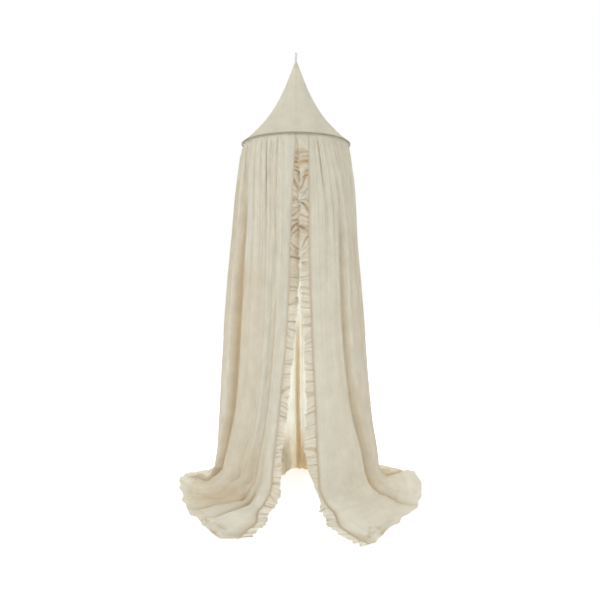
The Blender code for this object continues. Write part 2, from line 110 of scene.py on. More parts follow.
# Half widths of the painted dark line of shade in a fold, a gather and a fine gather, and how deep a
# fold is that has the full painted shade
FOLD_LINE = 0.0012
GATHER_LINE = 0.0016
FINE_GATHER_LINE = 0.0014
FOLD_SHADE_DEPTH = 0.036

# How round creases are, as shares of their width, and where and how far the cloth stands out beside
# a fold, as shares of its width and depth
CREASE_ROUNDNESS = 0.6
GATHER_ROUNDNESS = 0.35
SHOULDER_PLACE = 1.9
SHOULDER_HEIGHT = 0.30
SWELL_DEPTH = 0.0040

# Folds start this many degrees in from an opening edge and are full this many degrees in
EDGE_FLAT = 2.0
EDGE_FADE = 12.0

# On the floor: how softly the cloth meets it, and the small waves of the hem's outline
FLOOR_SOFTNESS = 0.0025
HEM_WAVE = 0.0032

# The ruffles: the gap to the skirt, how far they keep off the floor, how far they swing sideways
# at each flute, broad wave and pucker, and the width of their place on the flat cloth
RUFFLE_GAP = 0.0004
RUFFLE_CLEARANCE = 0.0002
FLUTE_SWING = 0.0048
WAVE_SWING = 0.0085
PUCKER_SWING = 0.0008
RUFFLE_MAP_WIDTH = 0.05

# The skirt's span at the hoop, in degrees
SKIRT_SPAN = 348.0

# Flat sizes of the cloth, in metres and square metres, and how many times its edge a ruffle is
# long. Those of the skirt and the ruffles are chosen to suit the folds as they are drawn
SKIRT_FLAT_WIDTH = 3.40
RUFFLE_FULLNESS = 1.6
CONE_FLAT = (1.60, 0.50)

# How finely the skirt and the ruffles are drawn
FINE_COLUMNS = 3481
SKIRT_COLUMNS = 636
EDGE_COLUMNS = 20
FRONT_FAVOUR = 1.7
RUFFLE_STEPS = 1500
RUFFLE_ROWS = 17

# Rows of the skirt: a run from one part of the drop up to the next, and how many rows it has
Run = namedtuple("Run", "start end rows")
SKIRT_RUNS = (
    Run(-0.005, 0.030, 10),
    Run(0.030, 0.120, 7),
    Run(0.120, 0.600, 14),
    Run(0.600, 1.000, 12),
    Run(1.000, 2.000, 13),
    Run(2.000, 2.900, 17),
    Run(2.900, 3.000, 4),
)

# Outline of the pointed top, with heights above the hoop
Outline = namedtuple("Outline", "height radius")
CONE_OUTLINE = (
    Outline(0.388, 0.0056),
    Outline(0.310, 0.0355),
    Outline(0.225, 0.0730),
    Outline(0.134, 0.1270),
    Outline(0.077, 0.1745),
    Outline(0.032, 0.2190),
    Outline(0.0060, 0.2491),
)

# Radius of the hanging skirt on each side
Level = namedtuple("Level", "height front left back right")
LEVELS = (
    Level(1.633, 0.2459, 0.2459, 0.2459, 0.2459),
    Level(1.619, 0.2515, 0.2515, 0.2515, 0.2515),
    Level(1.571, 0.2600, 0.2640, 0.2600, 0.2600),
    Level(1.476, 0.2690, 0.2780, 0.2690, 0.2730),
    Level(1.381, 0.2740, 0.2900, 0.2750, 0.2790),
    Level(1.190, 0.2790, 0.3050, 0.2820, 0.2870),
    Level(1.000, 0.2830, 0.3260, 0.2880, 0.3010),
    Level(0.809, 0.2860, 0.3400, 0.2930, 0.3150),
    Level(0.619, 0.2880, 0.3500, 0.2940, 0.3300),
    Level(0.428, 0.2890, 0.3610, 0.2920, 0.3480),
    Level(0.238, 0.2890, 0.3710, 0.2900, 0.3760),
    Level(0.120, 0.2890, 0.3850, 0.2880, 0.3900),
    Level(0.000, 0.2890, 0.3950, 0.2880, 0.4000),
)

# How the cloth turns on to the floor, by angle: side mixes the front or back radius with that of
# the left or right, bend is where the turn starts, reach its width, rest the height behind it
Turn = namedtuple("Turn", "angle side bend reach rest")
TURNS = (
    Turn(8.0, 0.0, 0.075, 0.055, 0.0056),
    Turn(32.0, 0.45, 0.120, 0.070, 0.040),
    Turn(62.0, 1.0, 0.145, 0.075, 0.046),
    Turn(106.0, 1.0, 0.142, 0.075, 0.030),
    Turn(122.0, 0.8, 0.130, 0.070, 0.012),
    Turn(150.0, 0.3, 0.100, 0.060, 0.010),
    Turn(172.0, 0.0, 0.056, 0.030, 0.006),
    Turn(192.0, 0.0, 0.056, 0.030, 0.006),
    Turn(212.0, 0.3, 0.100, 0.060, 0.020),
    Turn(250.0, 1.0, 0.145, 0.075, 0.040),
    Turn(298.0, 1.0, 0.145, 0.075, 0.042),
    Turn(324.0, 0.45, 0.120, 0.070, 0.036),
    Turn(345.0, 0.0, 0.075, 0.055, 0.0056),
)

# Outline of the hem on the floor
Hem = namedtuple("Hem", "angle radius")
HEM = (
    Hem(16.0, 0.606),
    Hem(20.5, 0.664),
    Hem(25.0, 0.680),
    Hem(30.8, 0.645),
    Hem(36.6, 0.612),
    Hem(47.5, 0.576),
    Hem(58.0, 0.551),
    Hem(70.0, 0.538),
    Hem(82.0, 0.537),
    Hem(96.0, 0.574),
    Hem(107.0, 0.606),
    Hem(111.0, 0.608),
    Hem(115.0, 0.574),
    Hem(121.0, 0.550),
    Hem(132.0, 0.556),
    Hem(155.0, 0.600),
    Hem(183.0, 0.625),
    Hem(208.0, 0.605),
    Hem(232.0, 0.575),
    Hem(244.0, 0.618),
    Hem(250.0, 0.639),
    Hem(256.0, 0.633),
    Hem(263.0, 0.612),
    Hem(284.0, 0.585),
    Hem(298.0, 0.596),
    Hem(310.0, 0.592),
    Hem(321.0, 0.628),
    Hem(328.0, 0.650),
    Hem(333.5, 0.696),
    Hem(338.4, 0.736),
    Hem(343.0, 0.690),
)

# Lines that run down the cloth: the angle of each at the hoop, at 1.25, 0.85 and 0.45 m, at the
# start and end of the turn, half way over the floor and at the hem. Depth is how far the fold goes
# in when hanging, sunk the same on the floor, width its half width and starts the part of the drop
# it begins at. Lean draws the fold's upper lip over it on the floor.
Line = namedtuple("Line", "name hoop high middle low bend foot floor hem depth sunk width starts lean")
LINES = (
    Line("left_edge", 0, 4.3, 7.1, 13.8, 19.5, 23.0, 18.5, 19.5, 0.0, 0.0, 0.0, 0.0, 0.0),
    Line("left_corner", 8, 9.5, 13.0, 20.0, 28.0, 34.5, 39.0, 45.5, 0.010, 0.032, 0.013, 0.75, 0.015),
    Line("left_front", 15, 15.0, 18.0, 23.6, 32.0, 43.0, 51.0, 58.0, 0.005, 0.038, 0.016, 0.35, 0.015),
    Line("left_pleat", 35, 30.5, 30.0, 34.0, 45.0, 62.0, 74.0, 79.0, 0.006, 0.006, 0.020, 0.05, 0.0),
    Line("left_deep", 58, 53.5, 53.0, 54.5, 66.0, 97.5, 106.0, 109.5, 0.024, 0.036, 0.0155, -0.10, 0.015),
    Line("left_roll", 82, 79.0, 82.0, 87.0, 99.0, 111.0, 114.0, 116.0, 0.0, 0.0, 0.0, 0.0, 0.0),
    Line("left_back", 108, 107, 108, 110, 115, 120, 122, 124, 0.026, 0.018, 0.022, 0.10, 0.0),
    Line("back_left", 146, 148, 148, 147, 147, 147, 147, 146, 0.024, 0.016, 0.022, 0.20, 0.0),
    Line("back_fold", 183, 183, 182.0, 181.6, 183.2, 183.5, 183, 183, 0.020, 0.004, 0.008, 0.44, 0.0),
    Line("back_right", 220, 216, 216, 217, 217, 216, 216, 215, 0.024, 0.016, 0.022, 0.20, 0.0),
    Line("right_back", 258, 252, 250, 248, 244, 236, 230, 225, 0.022, 0.012, 0.020, 0.10, 0.0),
    Line("right_roll", 282, 275, 272, 268, 260, 248, 241, 234, 0.0, 0.0, 0.0, 0.0, 0.0),
    Line("right_side", 301, 293, 289, 284, 273, 258, 250, 242, 0.022, 0.030, 0.014, 0.22, -0.012),
    Line("right_deep", 325, 312, 313, 308.5, 300, 297, 299.5, 296, 0.021, 0.038, 0.0145, 0.0, -0.016),
    Line("right_edge", 348, 348.7, 346.9, 343.5, 341, 336.5, 341.0, 338.4, 0.0, 0.0, 0.0, 0.0, 0.0),
)

# Heights of the first four of those places, and where the hanging part ends
LINE_HEIGHTS = (1.631, 1.25, 0.85, 0.45)
HANG_END = 0.12

# Length of cloth from the hoop down to each part of the drop
Drop = namedtuple("Drop", "part length")
DROPS = (
    Drop(-0.01, -0.015),
    Drop(0.0, 0.0),
    Drop(1.0, 1.51),
    Drop(2.0, 1.66),
    Drop(3.0, 1.95),
)

# Gathers round the front: place at the hoop in degrees, strength and the part of the drop it ends at
Gather = namedtuple("Gather", "place strength end")
FRONT_GATHERS = (
    Gather(6.5, 0.60, 0.20),
    Gather(11.0, 1.00, 0.55),
    Gather(18.5, 0.55, 0.20),
    Gather(25.5, 0.80, 0.30),
    Gather(30.5, 1.20, 0.80),
    Gather(37.5, 0.85, 0.25),
    Gather(45.0, 0.80, 0.30),
    Gather(52.5, 0.70, 0.15),
    Gather(70.5, 0.90, 0.35),
    Gather(77.0, 0.70, 0.25),
    Gather(278.5, 0.80, 0.40),
    Gather(286.0, 1.00, 0.50),
    Gather(293.0, 0.80, 0.30),
    Gather(299.5, 1.10, 0.45),
    Gather(307.0, 1.10, 0.35),
    Gather(315.5, 1.00, 0.40),
    Gather(332.0, 0.80, 0.20),
    Gather(337.5, 0.75, 0.25),
    Gather(341.8, 1.00, 0.35),
)

# Where the foot of the back wall slumps inwards on each side of the opening, by angle: from where
# to where it starts and ends, and how far in it goes
Slump = namedtuple("Slump", "start full fade end inwards")
SLUMPS = (
    Slump(105.0, 135.0, 160.0, 177.0, 0.20),
    Slump(190.0, 211.0, 236.0, 262.0, 0.20),
)
SLUMP_HEIGHT = 0.17

# Where the hem curls up off the floor, by angle
Curl = namedtuple("Curl", "angle width lift")
CURLS = (
    Curl(254.0, 8.0, 0.021),
    Curl(234.0, 12.0, 0.006),
    Curl(112.0, 6.0, 0.006),
    Curl(40.0, 4.0, 0.004),
    Curl(26.0, 5.0, 0.003),
)

# The painted shade of the doubled fold down the middle of the back, which has clear edges: its place
# and half its width as drawn, in degrees
STRIPE_PLACE = 183.0
STRIPE_HALF = 2.6

# Painted shade: patches where the colour is taken warmer and darker, for the shade where the cloth hangs
# doubled and where it lies in its own shade: place round the hoop in degrees, half width in metres of cloth,
# the parts of the drop it starts and ends at, and strength
Tint = namedtuple("Tint", "place width start end strength")
SHADE_PATCHES = (
    Tint(58.0, 0.018, 0.20, 1.6, 0.40),
    Tint(62.0, 0.040, 1.00, 2.2, 0.34),
    Tint(50.0, 0.075, 0.35, 2.2, 0.26),
    Tint(78.0, 0.050, 0.10, 1.3, 0.34),
    Tint(26.0, 0.060, 0.85, 2.3, 0.34),
    Tint(35.0, 0.120, 1.30, 2.6, 0.20),
    Tint(16.0, 0.100, 1.45, 2.7, 0.15),
    Tint(300.0, 0.070, 0.25, 1.9, 0.24),
    Tint(320.0, 0.040, 0.70, 2.2, 0.22),
    Tint(330.0, 0.300, 0.45, 2.7, 0.10),
    Tint(287.0, 0.120, 1.50, 2.9, 0.40),
    Tint(174.0, 1.700, 1.20, 3.0, 0.12),
    Tint(STRIPE_PLACE, 0.0130, 0.51, 1.4, 0.52),
    Tint(15.0, 0.005, 0.42, 1.5, 0.42),
    Tint(301.0, 0.006, 0.55, 1.6, 0.35),
    Tint(158.0, 0.250, 0.86, 1.9, 0.40),
    Tint(190.0, 0.060, 0.925, 1.9, 0.50),
    Tint(189.0, 0.020, 0.860, 1.9, 0.40),
    Tint(206.0, 0.080, 0.92, 1.9, 0.34),
)

# Broad uneven swells round the skirt: waves in each 360 degrees of cloth, shift and share
Swell = namedtuple("Swell", "waves shift share")
SWELLS = (
    Swell(21.0, 0.7, 1.0),
    Swell(13.4, 2.1, 0.8),
    Swell(29.3, 4.0, 0.6),
)

# How each ruffle is set: lift and set_in move its free edge out or in, lean tips it where it turns
# and its painted shade tints it warmer a way below the hoop, where less light comes through two layers
RuffleSet = namedtuple("RuffleSet", "name edge beside lift set_in lean warm seed")
RUFFLES = (
    RuffleSet("ruffle_left", 0, 1, -0.011, 0.006, 15.0, 0.12, 5),
    RuffleSet("ruffle_right", -1, -2, 0.012, 0.0, 74.0, 0.0, 9),
)

# How wide each ruffle looks where its free edge curls: part of the drop, and share of its width
RUFFLE_CURL = {
    "ruffle_left": ((0.0, 1.0), (0.30, 0.92), (0.50, 0.84), (0.62, 0.72), (0.90, 0.74), (1.15, 1.0)),
    "ruffle_right": (
        (0.0, 1.0), (0.45, 0.94), (0.58, 0.76), (0.76, 0.80), (0.86, 1.18), (0.96, 1.15), (1.15, 1.0),
    ),
}

# Painted shade on the ruffles, for where a ruffle is crushed together and its folds cross: metres down from
# the hoop, width and strength
Cluster = namedtuple("Cluster", "down width strength")
RUFFLE_SHADE_CLUSTERS = (
    Cluster(0.127, 0.028, 1.0),
    Cluster(0.205, 0.026, 0.5),
    Cluster(0.345, 0.026, 0.5),
    Cluster(0.420, 0.036, 0.7),
)

# The stage: the floor's half width, colour and gap to the canopy, and the camera's sensor in mm
FLOOR_HALF = 9.0
FLOOR_COLOUR = (0.78, 0.785, 0.84, 1.0)
FLOOR_GAP = 0.0006
SENSOR_WIDTH = 36.0

# The two soft square lights: the setting with its power, colour, width, place and what it faces
Lamp = namedtuple("Lamp", "name setting colour width place aim")
LAMPS = (
    Lamp("front_light", "front", (1.0, 1.0, 1.0), 1.8, (-1.2, -2.6, 0.9), (0.0, 0.0, -1.0)),
    Lamp("back_light", "back", (0.92, 0.97, 1.0), 1.3, (0.1, 2.2, -1.35), (0.0, 0.0, -1.35)),
)


class CanopyClothSettings(bpy.types.PropertyGroup):
    """Colour and make of the muslin."""

    colour: FloatVectorProperty(
        name="Muslin", description="Colour of the cloth in full light", subtype="COLOR",
        size=3, min=0.0, max=1.0, default=(0.715, 0.697, 0.60),
    )
    # Painted shade: the colour that the cloth is taken towards in its folds and shade patches
    fold_shade_colour: FloatVectorProperty(
        name="In the folds", description="Colour deep in a fold, where the cloth doubles",
        subtype="COLOR", size=3, min=0.0, max=1.0, default=(0.71, 0.605, 0.44),
    )
    # Painted light: the ruffles are a lighter copy of the muslin, to make up for the shade they hang in
    ruffle_colour: FloatVectorProperty(
        name="Ruffles", description="Colour of the ruffles in full light",
        subtype="COLOR", size=3, min=0.0, max=1.0, default=(0.80, 0.765, 0.655),
    )
    # Painted shade: the colour that the ruffles are taken towards between their flutes
    ruffle_shade_colour: FloatVectorProperty(
        name="In the ruffles", description="Colour deep between the flutes of a ruffle",
        subtype="COLOR", size=3, min=0.0, max=1.0, default=(0.64, 0.485, 0.29),
    )
    through_colour: FloatVectorProperty(
        name="Against the light", description="Colour of the light that comes through the cloth",
        subtype="COLOR", size=3, min=0.0, max=1.0, default=(0.905, 0.892, 0.845),
    )
    through: FloatProperty(
        name="See-through", description="Share of the light that passes each face",
        subtype="FACTOR", min=0.0, max=1.0, default=0.58,
    )
    thread: FloatProperty(
        name="Thread pitch", description="Distance from thread to thread", unit="LENGTH",
        min=0.0003, max=0.005, default=0.0008,
    )
    cord_colour: FloatVectorProperty(
        name="Cord", description="Colour of the hanging loop", subtype="COLOR",
        size=3, min=0.0, max=1.0, default=(0.22, 0.225, 0.20),
    )
    hoop_colour: FloatVectorProperty(
        name="Hoop cover", description="Colour of the cloth round the hoop", subtype="COLOR",
        size=3, min=0.0, max=1.0, default=(0.29, 0.252, 0.178),
    )


class CanopySkirtSettings(bpy.types.PropertyGroup):
    """Sizes of the skirt and its ruffles."""

    thickness: FloatProperty(
        name="Cloth", description="Thickness of the muslin", unit="LENGTH",
        min=0.0002, max=0.003, default=0.0009,
    )
    hem_thickness: FloatProperty(
        name="Hem", description="Thickness of the turned hem", unit="LENGTH",
        min=0.0002, max=0.004, default=0.0017,
    )
    fine_gathers: IntProperty(
        name="Fine gathers", description="Small creases between the main gathers",
        min=0, max=400, default=120,
    )
    fine_gather_depth: FloatProperty(
        name="Fine gather depth", description="How far a fine gather goes in", unit="LENGTH",
        min=0.0, max=0.01, default=0.0030,
    )
    crumple: FloatProperty(
        name="Crumple", description="Height of the soft crumples in the hanging cloth",
        unit="LENGTH", min=0.0, max=0.01, default=0.0007,
    )
    floor_crumple: FloatProperty(
        name="Floor crumple", description="Height of the crumples in the cloth on the floor",
        unit="LENGTH", min=0.0, max=0.01, default=0.0016,
    )
    corner_crumple: FloatProperty(
        name="Corner crumple", description="Height of the crushed cloth at the front corners",
        unit="LENGTH", min=0.0, max=0.01, default=0.0045,
    )
    ruffle_wave: FloatProperty(
        name="Ruffle flute", description="Height of the ruffle's flutes at its free edge",
        unit="LENGTH", min=0.0, max=0.02, default=0.0068,
    )
    ruffle_pucker: FloatProperty(
        name="Ruffle pucker", description="Height of the tight puckers along the seam",
        unit="LENGTH", min=0.0, max=0.01, default=0.0019,
    )
    ruffle_pitch: FloatProperty(
        name="Ruffle pitch", description="Distance from flute to flute", unit="LENGTH",
        min=0.005, max=0.1, default=0.0235,
    )


class CanopySewingSettings(bpy.types.PropertyGroup):
    """The rows of stitches."""

    thread_colour: FloatVectorProperty(
        name="Thread", description="Colour of the sewing thread", subtype="COLOR",
        size=3, min=0.0, max=1.0, default=(0.66, 0.63, 0.53),
    )
    stitch_step: FloatProperty(
        name="Step", description="From one stitch to the next", unit="LENGTH",
        min=0.001, max=0.02, default=0.0038,
    )
    stitch_length: FloatProperty(
        name="Stitch", description="Length of a stitch", unit="LENGTH",
        min=0.001, max=0.02, default=0.0029,
    )
    thread_width: FloatProperty(
        name="Thread width", description="Thickness of the thread", unit="LENGTH",
        min=0.0001, max=0.002, default=0.0006,
    )
    edge_share: FloatProperty(
        name="Edge row", description="Place of the row between the opening edge and the cloth beside it",
        subtype="FACTOR", min=0.0, max=1.0, default=0.40,
    )
    hem_part: FloatProperty(
        name="Hem row", description="Part of the drop that the hem is sewn at", min=2.0, max=3.0,
        default=2.95,
    )
    heading_part: FloatProperty(
        name="Heading row", description="Part of the drop that the gathers are sewn at", min=0.0,
        max=1.0, default=0.008,
    )
    seam_gap: FloatProperty(
        name="Seam rows", description="From the seam of the top to the row on each side",
        unit="LENGTH", min=0.001, max=0.02, default=0.003,
    )


class CanopyStageSettings(bpy.types.PropertyGroup):
    """Camera and light."""

    distance: FloatProperty(
        name="Distance", description="From the camera to the middle of the canopy",
        unit="LENGTH", min=1.0, max=10.0, default=3.0,
    )
    eye_height: FloatProperty(
        name="Eye height", description="Height of the camera above the floor", unit="LENGTH",
        min=0.0, max=3.0, default=0.974,
    )
    lens: FloatProperty(
        name="Lens", description="Focal length in millimetres", min=10.0, max=200.0, default=37.8,
    )
    tip: FloatProperty(
        name="Tip", description="How far the camera looks down", subtype="ANGLE", unit="ROTATION",
        default=math.atan2(14.6, 630.0),
    )
    turn: FloatProperty(
        name="Turn", description="How far the camera looks to the right", subtype="ANGLE",
        unit="ROTATION", default=math.atan2(4.0, 630.0),
    )
    sky: FloatProperty(
        name="Surround", description="Strength of the white light from all sides",
        min=0.0, max=5.0, default=1.0,
    )
    floor_glow: FloatProperty(
        name="Floor light", description="Strength of the white light from the floor",
        min=0.0, max=5.0, default=0.58,
    )
    front: FloatProperty(
        name="Front light", description="Power of the soft light in front, in watts",
        min=0.0, max=2000.0, default=29.0,
    )
    back: FloatProperty(
        name="Back light", description="Power of the soft light behind, in watts",
        min=0.0, max=2000.0, default=52.0,
    )


# ---------------------------------------------------------------- tables and curves


def column(rows, name):
    """One named column of a table."""
    return np.array([getattr(row, name) for row in rows], dtype=float)


def unit(vectors):
    """Vectors scaled to length one."""
    return vectors / np.maximum(np.linalg.norm(vectors, axis=-1, keepdims=True), 1e-12)


def smooth_step(value, start, end):
    """0 before start, 1 after end and an even rise between them."""
    share = np.clip((value - start) / (end - start), 0.0, 1.0)
    return share * share * (3 - 2 * share)


def even_curve(knots, values, at):
    """A curve through the values that never swings past them. values and at have a row a knot."""
    knots = np.asarray(knots, dtype=float)
    step = np.diff(knots)[:, None]
    slope = np.diff(values, axis=0) / step
    middle = slope[:-1] * slope[1:]
    weight = 2 * step[1:] + step[:-1]
    other = step[1:] + 2 * step[:-1]
    safe = np.where(middle > 0, slope[:-1], 1.0)
    safe_next = np.where(middle > 0, slope[1:], 1.0)
    inner = np.where(middle > 0, (weight + other) / (weight / safe + other / safe_next), 0.0)
    tangent = np.vstack([slope[:1], inner, slope[-1:]])
    place = np.clip(np.searchsorted(knots, at, side="right") - 1, 0, len(knots) - 2)
    width = (knots[place + 1] - knots[place])[:, None]
    t = ((at - knots[place])[:, None]) / width
    return (
        (1 + 2 * t) * (1 - t) ** 2 * values[place]
        + t * (1 - t) ** 2 * width * tangent[place]
        + t * t * (3 - 2 * t) * values[place + 1]
        + t * t * (t - 1) * width * tangent[place + 1]
    )


def by_angle(rows, name, angle):
    """A named column of a table of angles, read with soft corners."""
    return sum(
        np.interp(angle + shift, column(rows, "angle"), column(rows, name))
        for shift in (-3.0, 0.0, 3.0)
    ) / 3


def soft_interp(at, knots, values, reach):
    """Straight lines through a table with their corners softened, true at both ends."""
    shifts = np.linspace(-reach, reach, 7)
    total = np.zeros(len(at))
    for shift in shifts:
        moved = at + shift
        low = 2 * values[0] - np.interp(2 * knots[0] - moved, knots, values)
        high = 2 * values[-1] - np.interp(2 * knots[-1] - moved, knots, values)
        inside = np.interp(moved, knots, values)
        total += np.where(moved < knots[0], low, np.where(moved > knots[-1], high, inside))
    return total / len(shifts)


def rolling(across, down, pitch_across, pitch_down, seed, waves=14):
    """A smooth uneven relief of about one unit, with hills of about these sizes."""
    chance = np.random.default_rng(seed)
    total = np.zeros(np.broadcast(across, down).shape)
    for _ in range(waves):
        heading = chance.uniform(0, 2 * math.pi)
        size = chance.uniform(0.7, 1.5)
        total = total + np.sin(
            size * math.cos(heading) * 2 * math.pi * across / pitch_across
            + size * math.sin(heading) * 2 * math.pi * down / pitch_down
            + chance.uniform(0, 2 * math.pi)
        )
    return total / math.sqrt(waves / 2)


# ---------------------------------------------------------------- the skirt's shape


def hanging_radius(angle, height):
    """Plan radius of the hanging cloth."""
    side = by_angle(TURNS, "side", angle)
    back = smooth_step(angle, 100.0, 140.0) * (1 - smooth_step(angle, 220.0, 260.0))
    right = smooth_step(angle, 170.0, 200.0)
    levels = column(LEVELS, "height")[::-1]
    profile = {
        name: np.interp(height, levels, column(LEVELS, name)[::-1])
        for name in ("front", "left", "back", "right")
    }
    middle = profile["front"] * (1 - back) + profile["back"] * back
    flank = profile["left"] * (1 - right) + profile["right"] * right
    return middle * (1 - side) + flank * side


def skirt_angles(place, part):
    """Angle of the cloth for each place along the hoop, in degrees, and each part of its drop."""
    knots = column(LINES, "hoop")
    names = ("hoop", "high", "middle", "low", "bend", "foot", "floor", "hem")
    levels = [soft_interp(place, knots, column(LINES, name), 5.0) for name in names]
    top = LINE_HEIGHTS[0]
    drop = [(top - height) / (top - HANG_END) for height in LINE_HEIGHTS]
    return even_curve(drop + [1.0, 2.0, 2.5, 3.0], np.array(levels), part)


def skirt_base(place, part):
    """Points of the smooth skirt, without folds: a row for each part, a column for each place."""
    angle = skirt_angles(place, part)
    bend = by_angle(TURNS, "bend", angle)
    reach = by_angle(TURNS, "reach", angle)
    rest = by_angle(TURNS, "rest", angle)
    hem = np.interp(angle, column(HEM, "angle"), column(HEM, "radius"))
    hem = hem + HEM_WAVE * rolling(angle / 13.0, 0.0, 1.0, 1.0, 31, 9)
    part = np.broadcast_to(part[:, None], angle.shape)
    hang = np.minimum(part, 1.0)
    turn = np.clip(part - 1.0, 0.0, 1.0) * math.pi / 2
    lie = np.clip(part - 2.0, 0.0, 1.0)
    top = LINE_HEIGHTS[0]
    height = top + (bend - top) * hang
    radius = hanging_radius(angle, height)
    low = 1 - smooth_step(height, 0.02, SLUMP_HEIGHT)
    for slump in SLUMPS:
        share = smooth_step(angle, slump.start, slump.full)
        share = share * (1 - smooth_step(angle, slump.fade, slump.end))
        radius = radius - slump.inwards * share * low
    radius = radius + reach * (1 - np.cos(turn))
    height = height - (bend - rest) * np.sin(turn)
    radius = radius + (hem - radius) * lie
    height = height - (rest - HEM_HEIGHT) * lie**1.5
    for curl in CURLS:
        height = height + curl.lift * np.exp(-(((angle - curl.angle) / curl.width) ** 2)) * lie**2
    turned = np.radians(angle)
    return np.stack([-radius * np.sin(turned), -radius * np.cos(turned), height], axis=2)


def slopes(surface, place, part):
    """Directions along the hoop and down the cloth, by small steps."""
    across = surface(place + 0.2, part) - surface(place - 0.2, part)
    down = surface(place, part + 0.004) - surface(place, part - 0.004)
    return across / 0.4, down / 0.008


def trough(distance, width, roundness):
    """1 in the bottom of a fold and 0 away from it, with a more or less round crease."""
    soft = roundness * width
    return np.exp(-(np.sqrt(distance**2 + soft**2) - soft) / width)


def gather_table():
    """Place, strength and end of each gather, uneven but always the same."""
    chance = np.random.default_rng(23)
    pitch = (BACK_GATHERS_END - BACK_GATHERS_START) / BACK_GATHERS
    order = np.arange(BACK_GATHERS) + 0.5 + chance.uniform(-0.24, 0.24, BACK_GATHERS)
    place = np.append(column(FRONT_GATHERS, "place"), BACK_GATHERS_START + order * pitch)
    strength = chance.uniform(0.55, 1.25, BACK_GATHERS)
    strength = np.append(column(FRONT_GATHERS, "strength"), strength)
    ends = np.append(column(FRONT_GATHERS, "end"), chance.uniform(0.25, 0.75, BACK_GATHERS))
    return place, strength, ends


def fold_relief(place, part, across, settings):
    """How far the cloth stands in from the smooth skirt, how far its lips lean along the hoop, and
    its painted shade, from the depth of its folds and gathers and from the shade patches."""
    part = part[:, None]
    size = np.linalg.norm(across, axis=2)
    step = (size[:, 1:] + size[:, :-1]) / 2 * np.diff(place)
    arc = np.concatenate([np.zeros((len(part), 1)), np.cumsum(step, axis=1)], axis=1)

    def away(spot):
        """Distance along the cloth from one place, for each row."""
        return arc - np.array([np.interp(spot, place, row) for row in arc])[:, None]

    total = np.zeros(size.shape)
    lean = np.zeros(size.shape)
    shade = np.zeros(size.shape)
    calm = np.ones(size.shape)
    on_floor = smooth_step(part, 1.0, 2.0)
    fade_hem = 1 - 0.85 * smooth_step(part, 2.2, 3.0)
    for line in LINES:
        if line.width == 0.0:
            continue
        distance = away(line.hoop)
        strong = line.depth * (1 - on_floor) + line.sunk * on_floor * fade_hem
        strong = strong * smooth_step(part, line.starts, line.starts + 0.35)
        shoulder = np.exp(-((np.abs(distance) / line.width - SHOULDER_PLACE) ** 2))
        crease = trough(distance, line.width, CREASE_ROUNDNESS)
        total += strong * (crease - SHOULDER_HEIGHT * shoulder)
        near = trough(distance, 1.3 * line.width, CREASE_ROUNDNESS)
        calm *= 1 - near * smooth_step(part, line.starts, 0.6)
        lip = np.exp(-((distance / line.width - math.copysign(1.3, line.lean)) ** 2))
        lean -= line.lean * lip * smooth_step(part, 1.1, 1.8) * (1 - 0.4 * smooth_step(part, 2.3, 3.0))
        # Painted shade: the colour goes towards the shade colour in and beside each fold, with a crisp dark
        # line in its bottom lower down
        dark = strong / FOLD_SHADE_DEPTH
        shade += 0.35 * dark * trough(distance, 0.5 * line.width, CREASE_ROUNDNESS)
        shade += 0.3 * dark * np.exp(-((distance / line.width / 1.3) ** 2))
        crisp = smooth_step(part, 0.5, 1.3) * fade_hem
        shade += 0.7 * crisp * dark * trough(distance, FOLD_LINE, GATHER_ROUNDNESS)
    strong = SWELL_DEPTH * smooth_step(part, 0.04, 0.5) * (1 - 0.5 * on_floor) * fade_hem
    for swell in SWELLS:
        total += strong * swell.share * np.sin(np.radians(place * swell.waves) + swell.shift)
    rise = smooth_step(part, -0.002, 0.020)
    for spot, power, end in zip(*gather_table()):
        distance = away(spot)
        fade = 1 - 0.85 * smooth_step(part, end, end + 0.4)
        crease = 0.28 * trough(distance, GATHER_WIDTH, GATHER_ROUNDNESS)
        crease += 0.45 * trough(distance, CREASE_WIDTH, GATHER_ROUNDNESS) - 0.4 * SHOULDER_HEIGHT
        window = np.exp(-((distance / GATHER_REACH) ** 4))
        depth = GATHER_DEPTH * power * rise * fade * calm * fade_hem
        total += depth * crease * window
        # Painted shade: a thin dark line down each gather
        shade += 0.55 * depth / GATHER_DEPTH * trough(distance, GATHER_LINE, GATHER_ROUNDNESS)
    # Painted shade in each of the shade patches
    for shade_patch in SHADE_PATCHES:
        low = smooth_step(part, shade_patch.start, shade_patch.start + 0.10 * shade_patch.start + 0.02)
        low = low * (1 - smooth_step(part, shade_patch.end, shade_patch.end + 0.5))
        crisp = 6 if shade_patch.place == STRIPE_PLACE else 2
        shade += shade_patch.strength * low * np.exp(-(np.abs(away(shade_patch.place) / shade_patch.width) ** crisp))
    chance = np.random.default_rng(41)
    for _ in range(settings.fine_gathers):
        spot = chance.uniform(3.0, SKIRT_SPAN - 3.0)
        end = chance.uniform(0.02, 0.40)
        power = chance.uniform(0.4, 1.2)
        distance = away(spot) + 0.004 * np.sin(part * chance.uniform(8.0, 22.0) + spot)
        fade = rise * (1 - smooth_step(part, end, end + 0.22)) * calm
        depth = settings.fine_gather_depth * power * fade
        total += depth * trough(distance, FINE_GATHER_WIDTH, GATHER_ROUNDNESS)
        # Painted shade: a thin dark line down each fine gather
        shade += 0.25 * power * fade * trough(distance, FINE_GATHER_LINE, GATHER_ROUNDNESS)
    edge = np.minimum(place, SKIRT_SPAN - place)[None, :]
    held = smooth_step(edge, EDGE_FLAT, EDGE_FADE)
    # The opening edges and a line 3.6 degrees in from each are painted darker, towards the shade colour
    seam = 0.5 * (1 - smooth_step(edge, 0.15, 0.5)) + 0.15 * np.exp(-(((edge - 3.6) / 0.25) ** 2))
    return total * held, lean * held, np.clip(shade * held + seam, 0.0, 1.0)


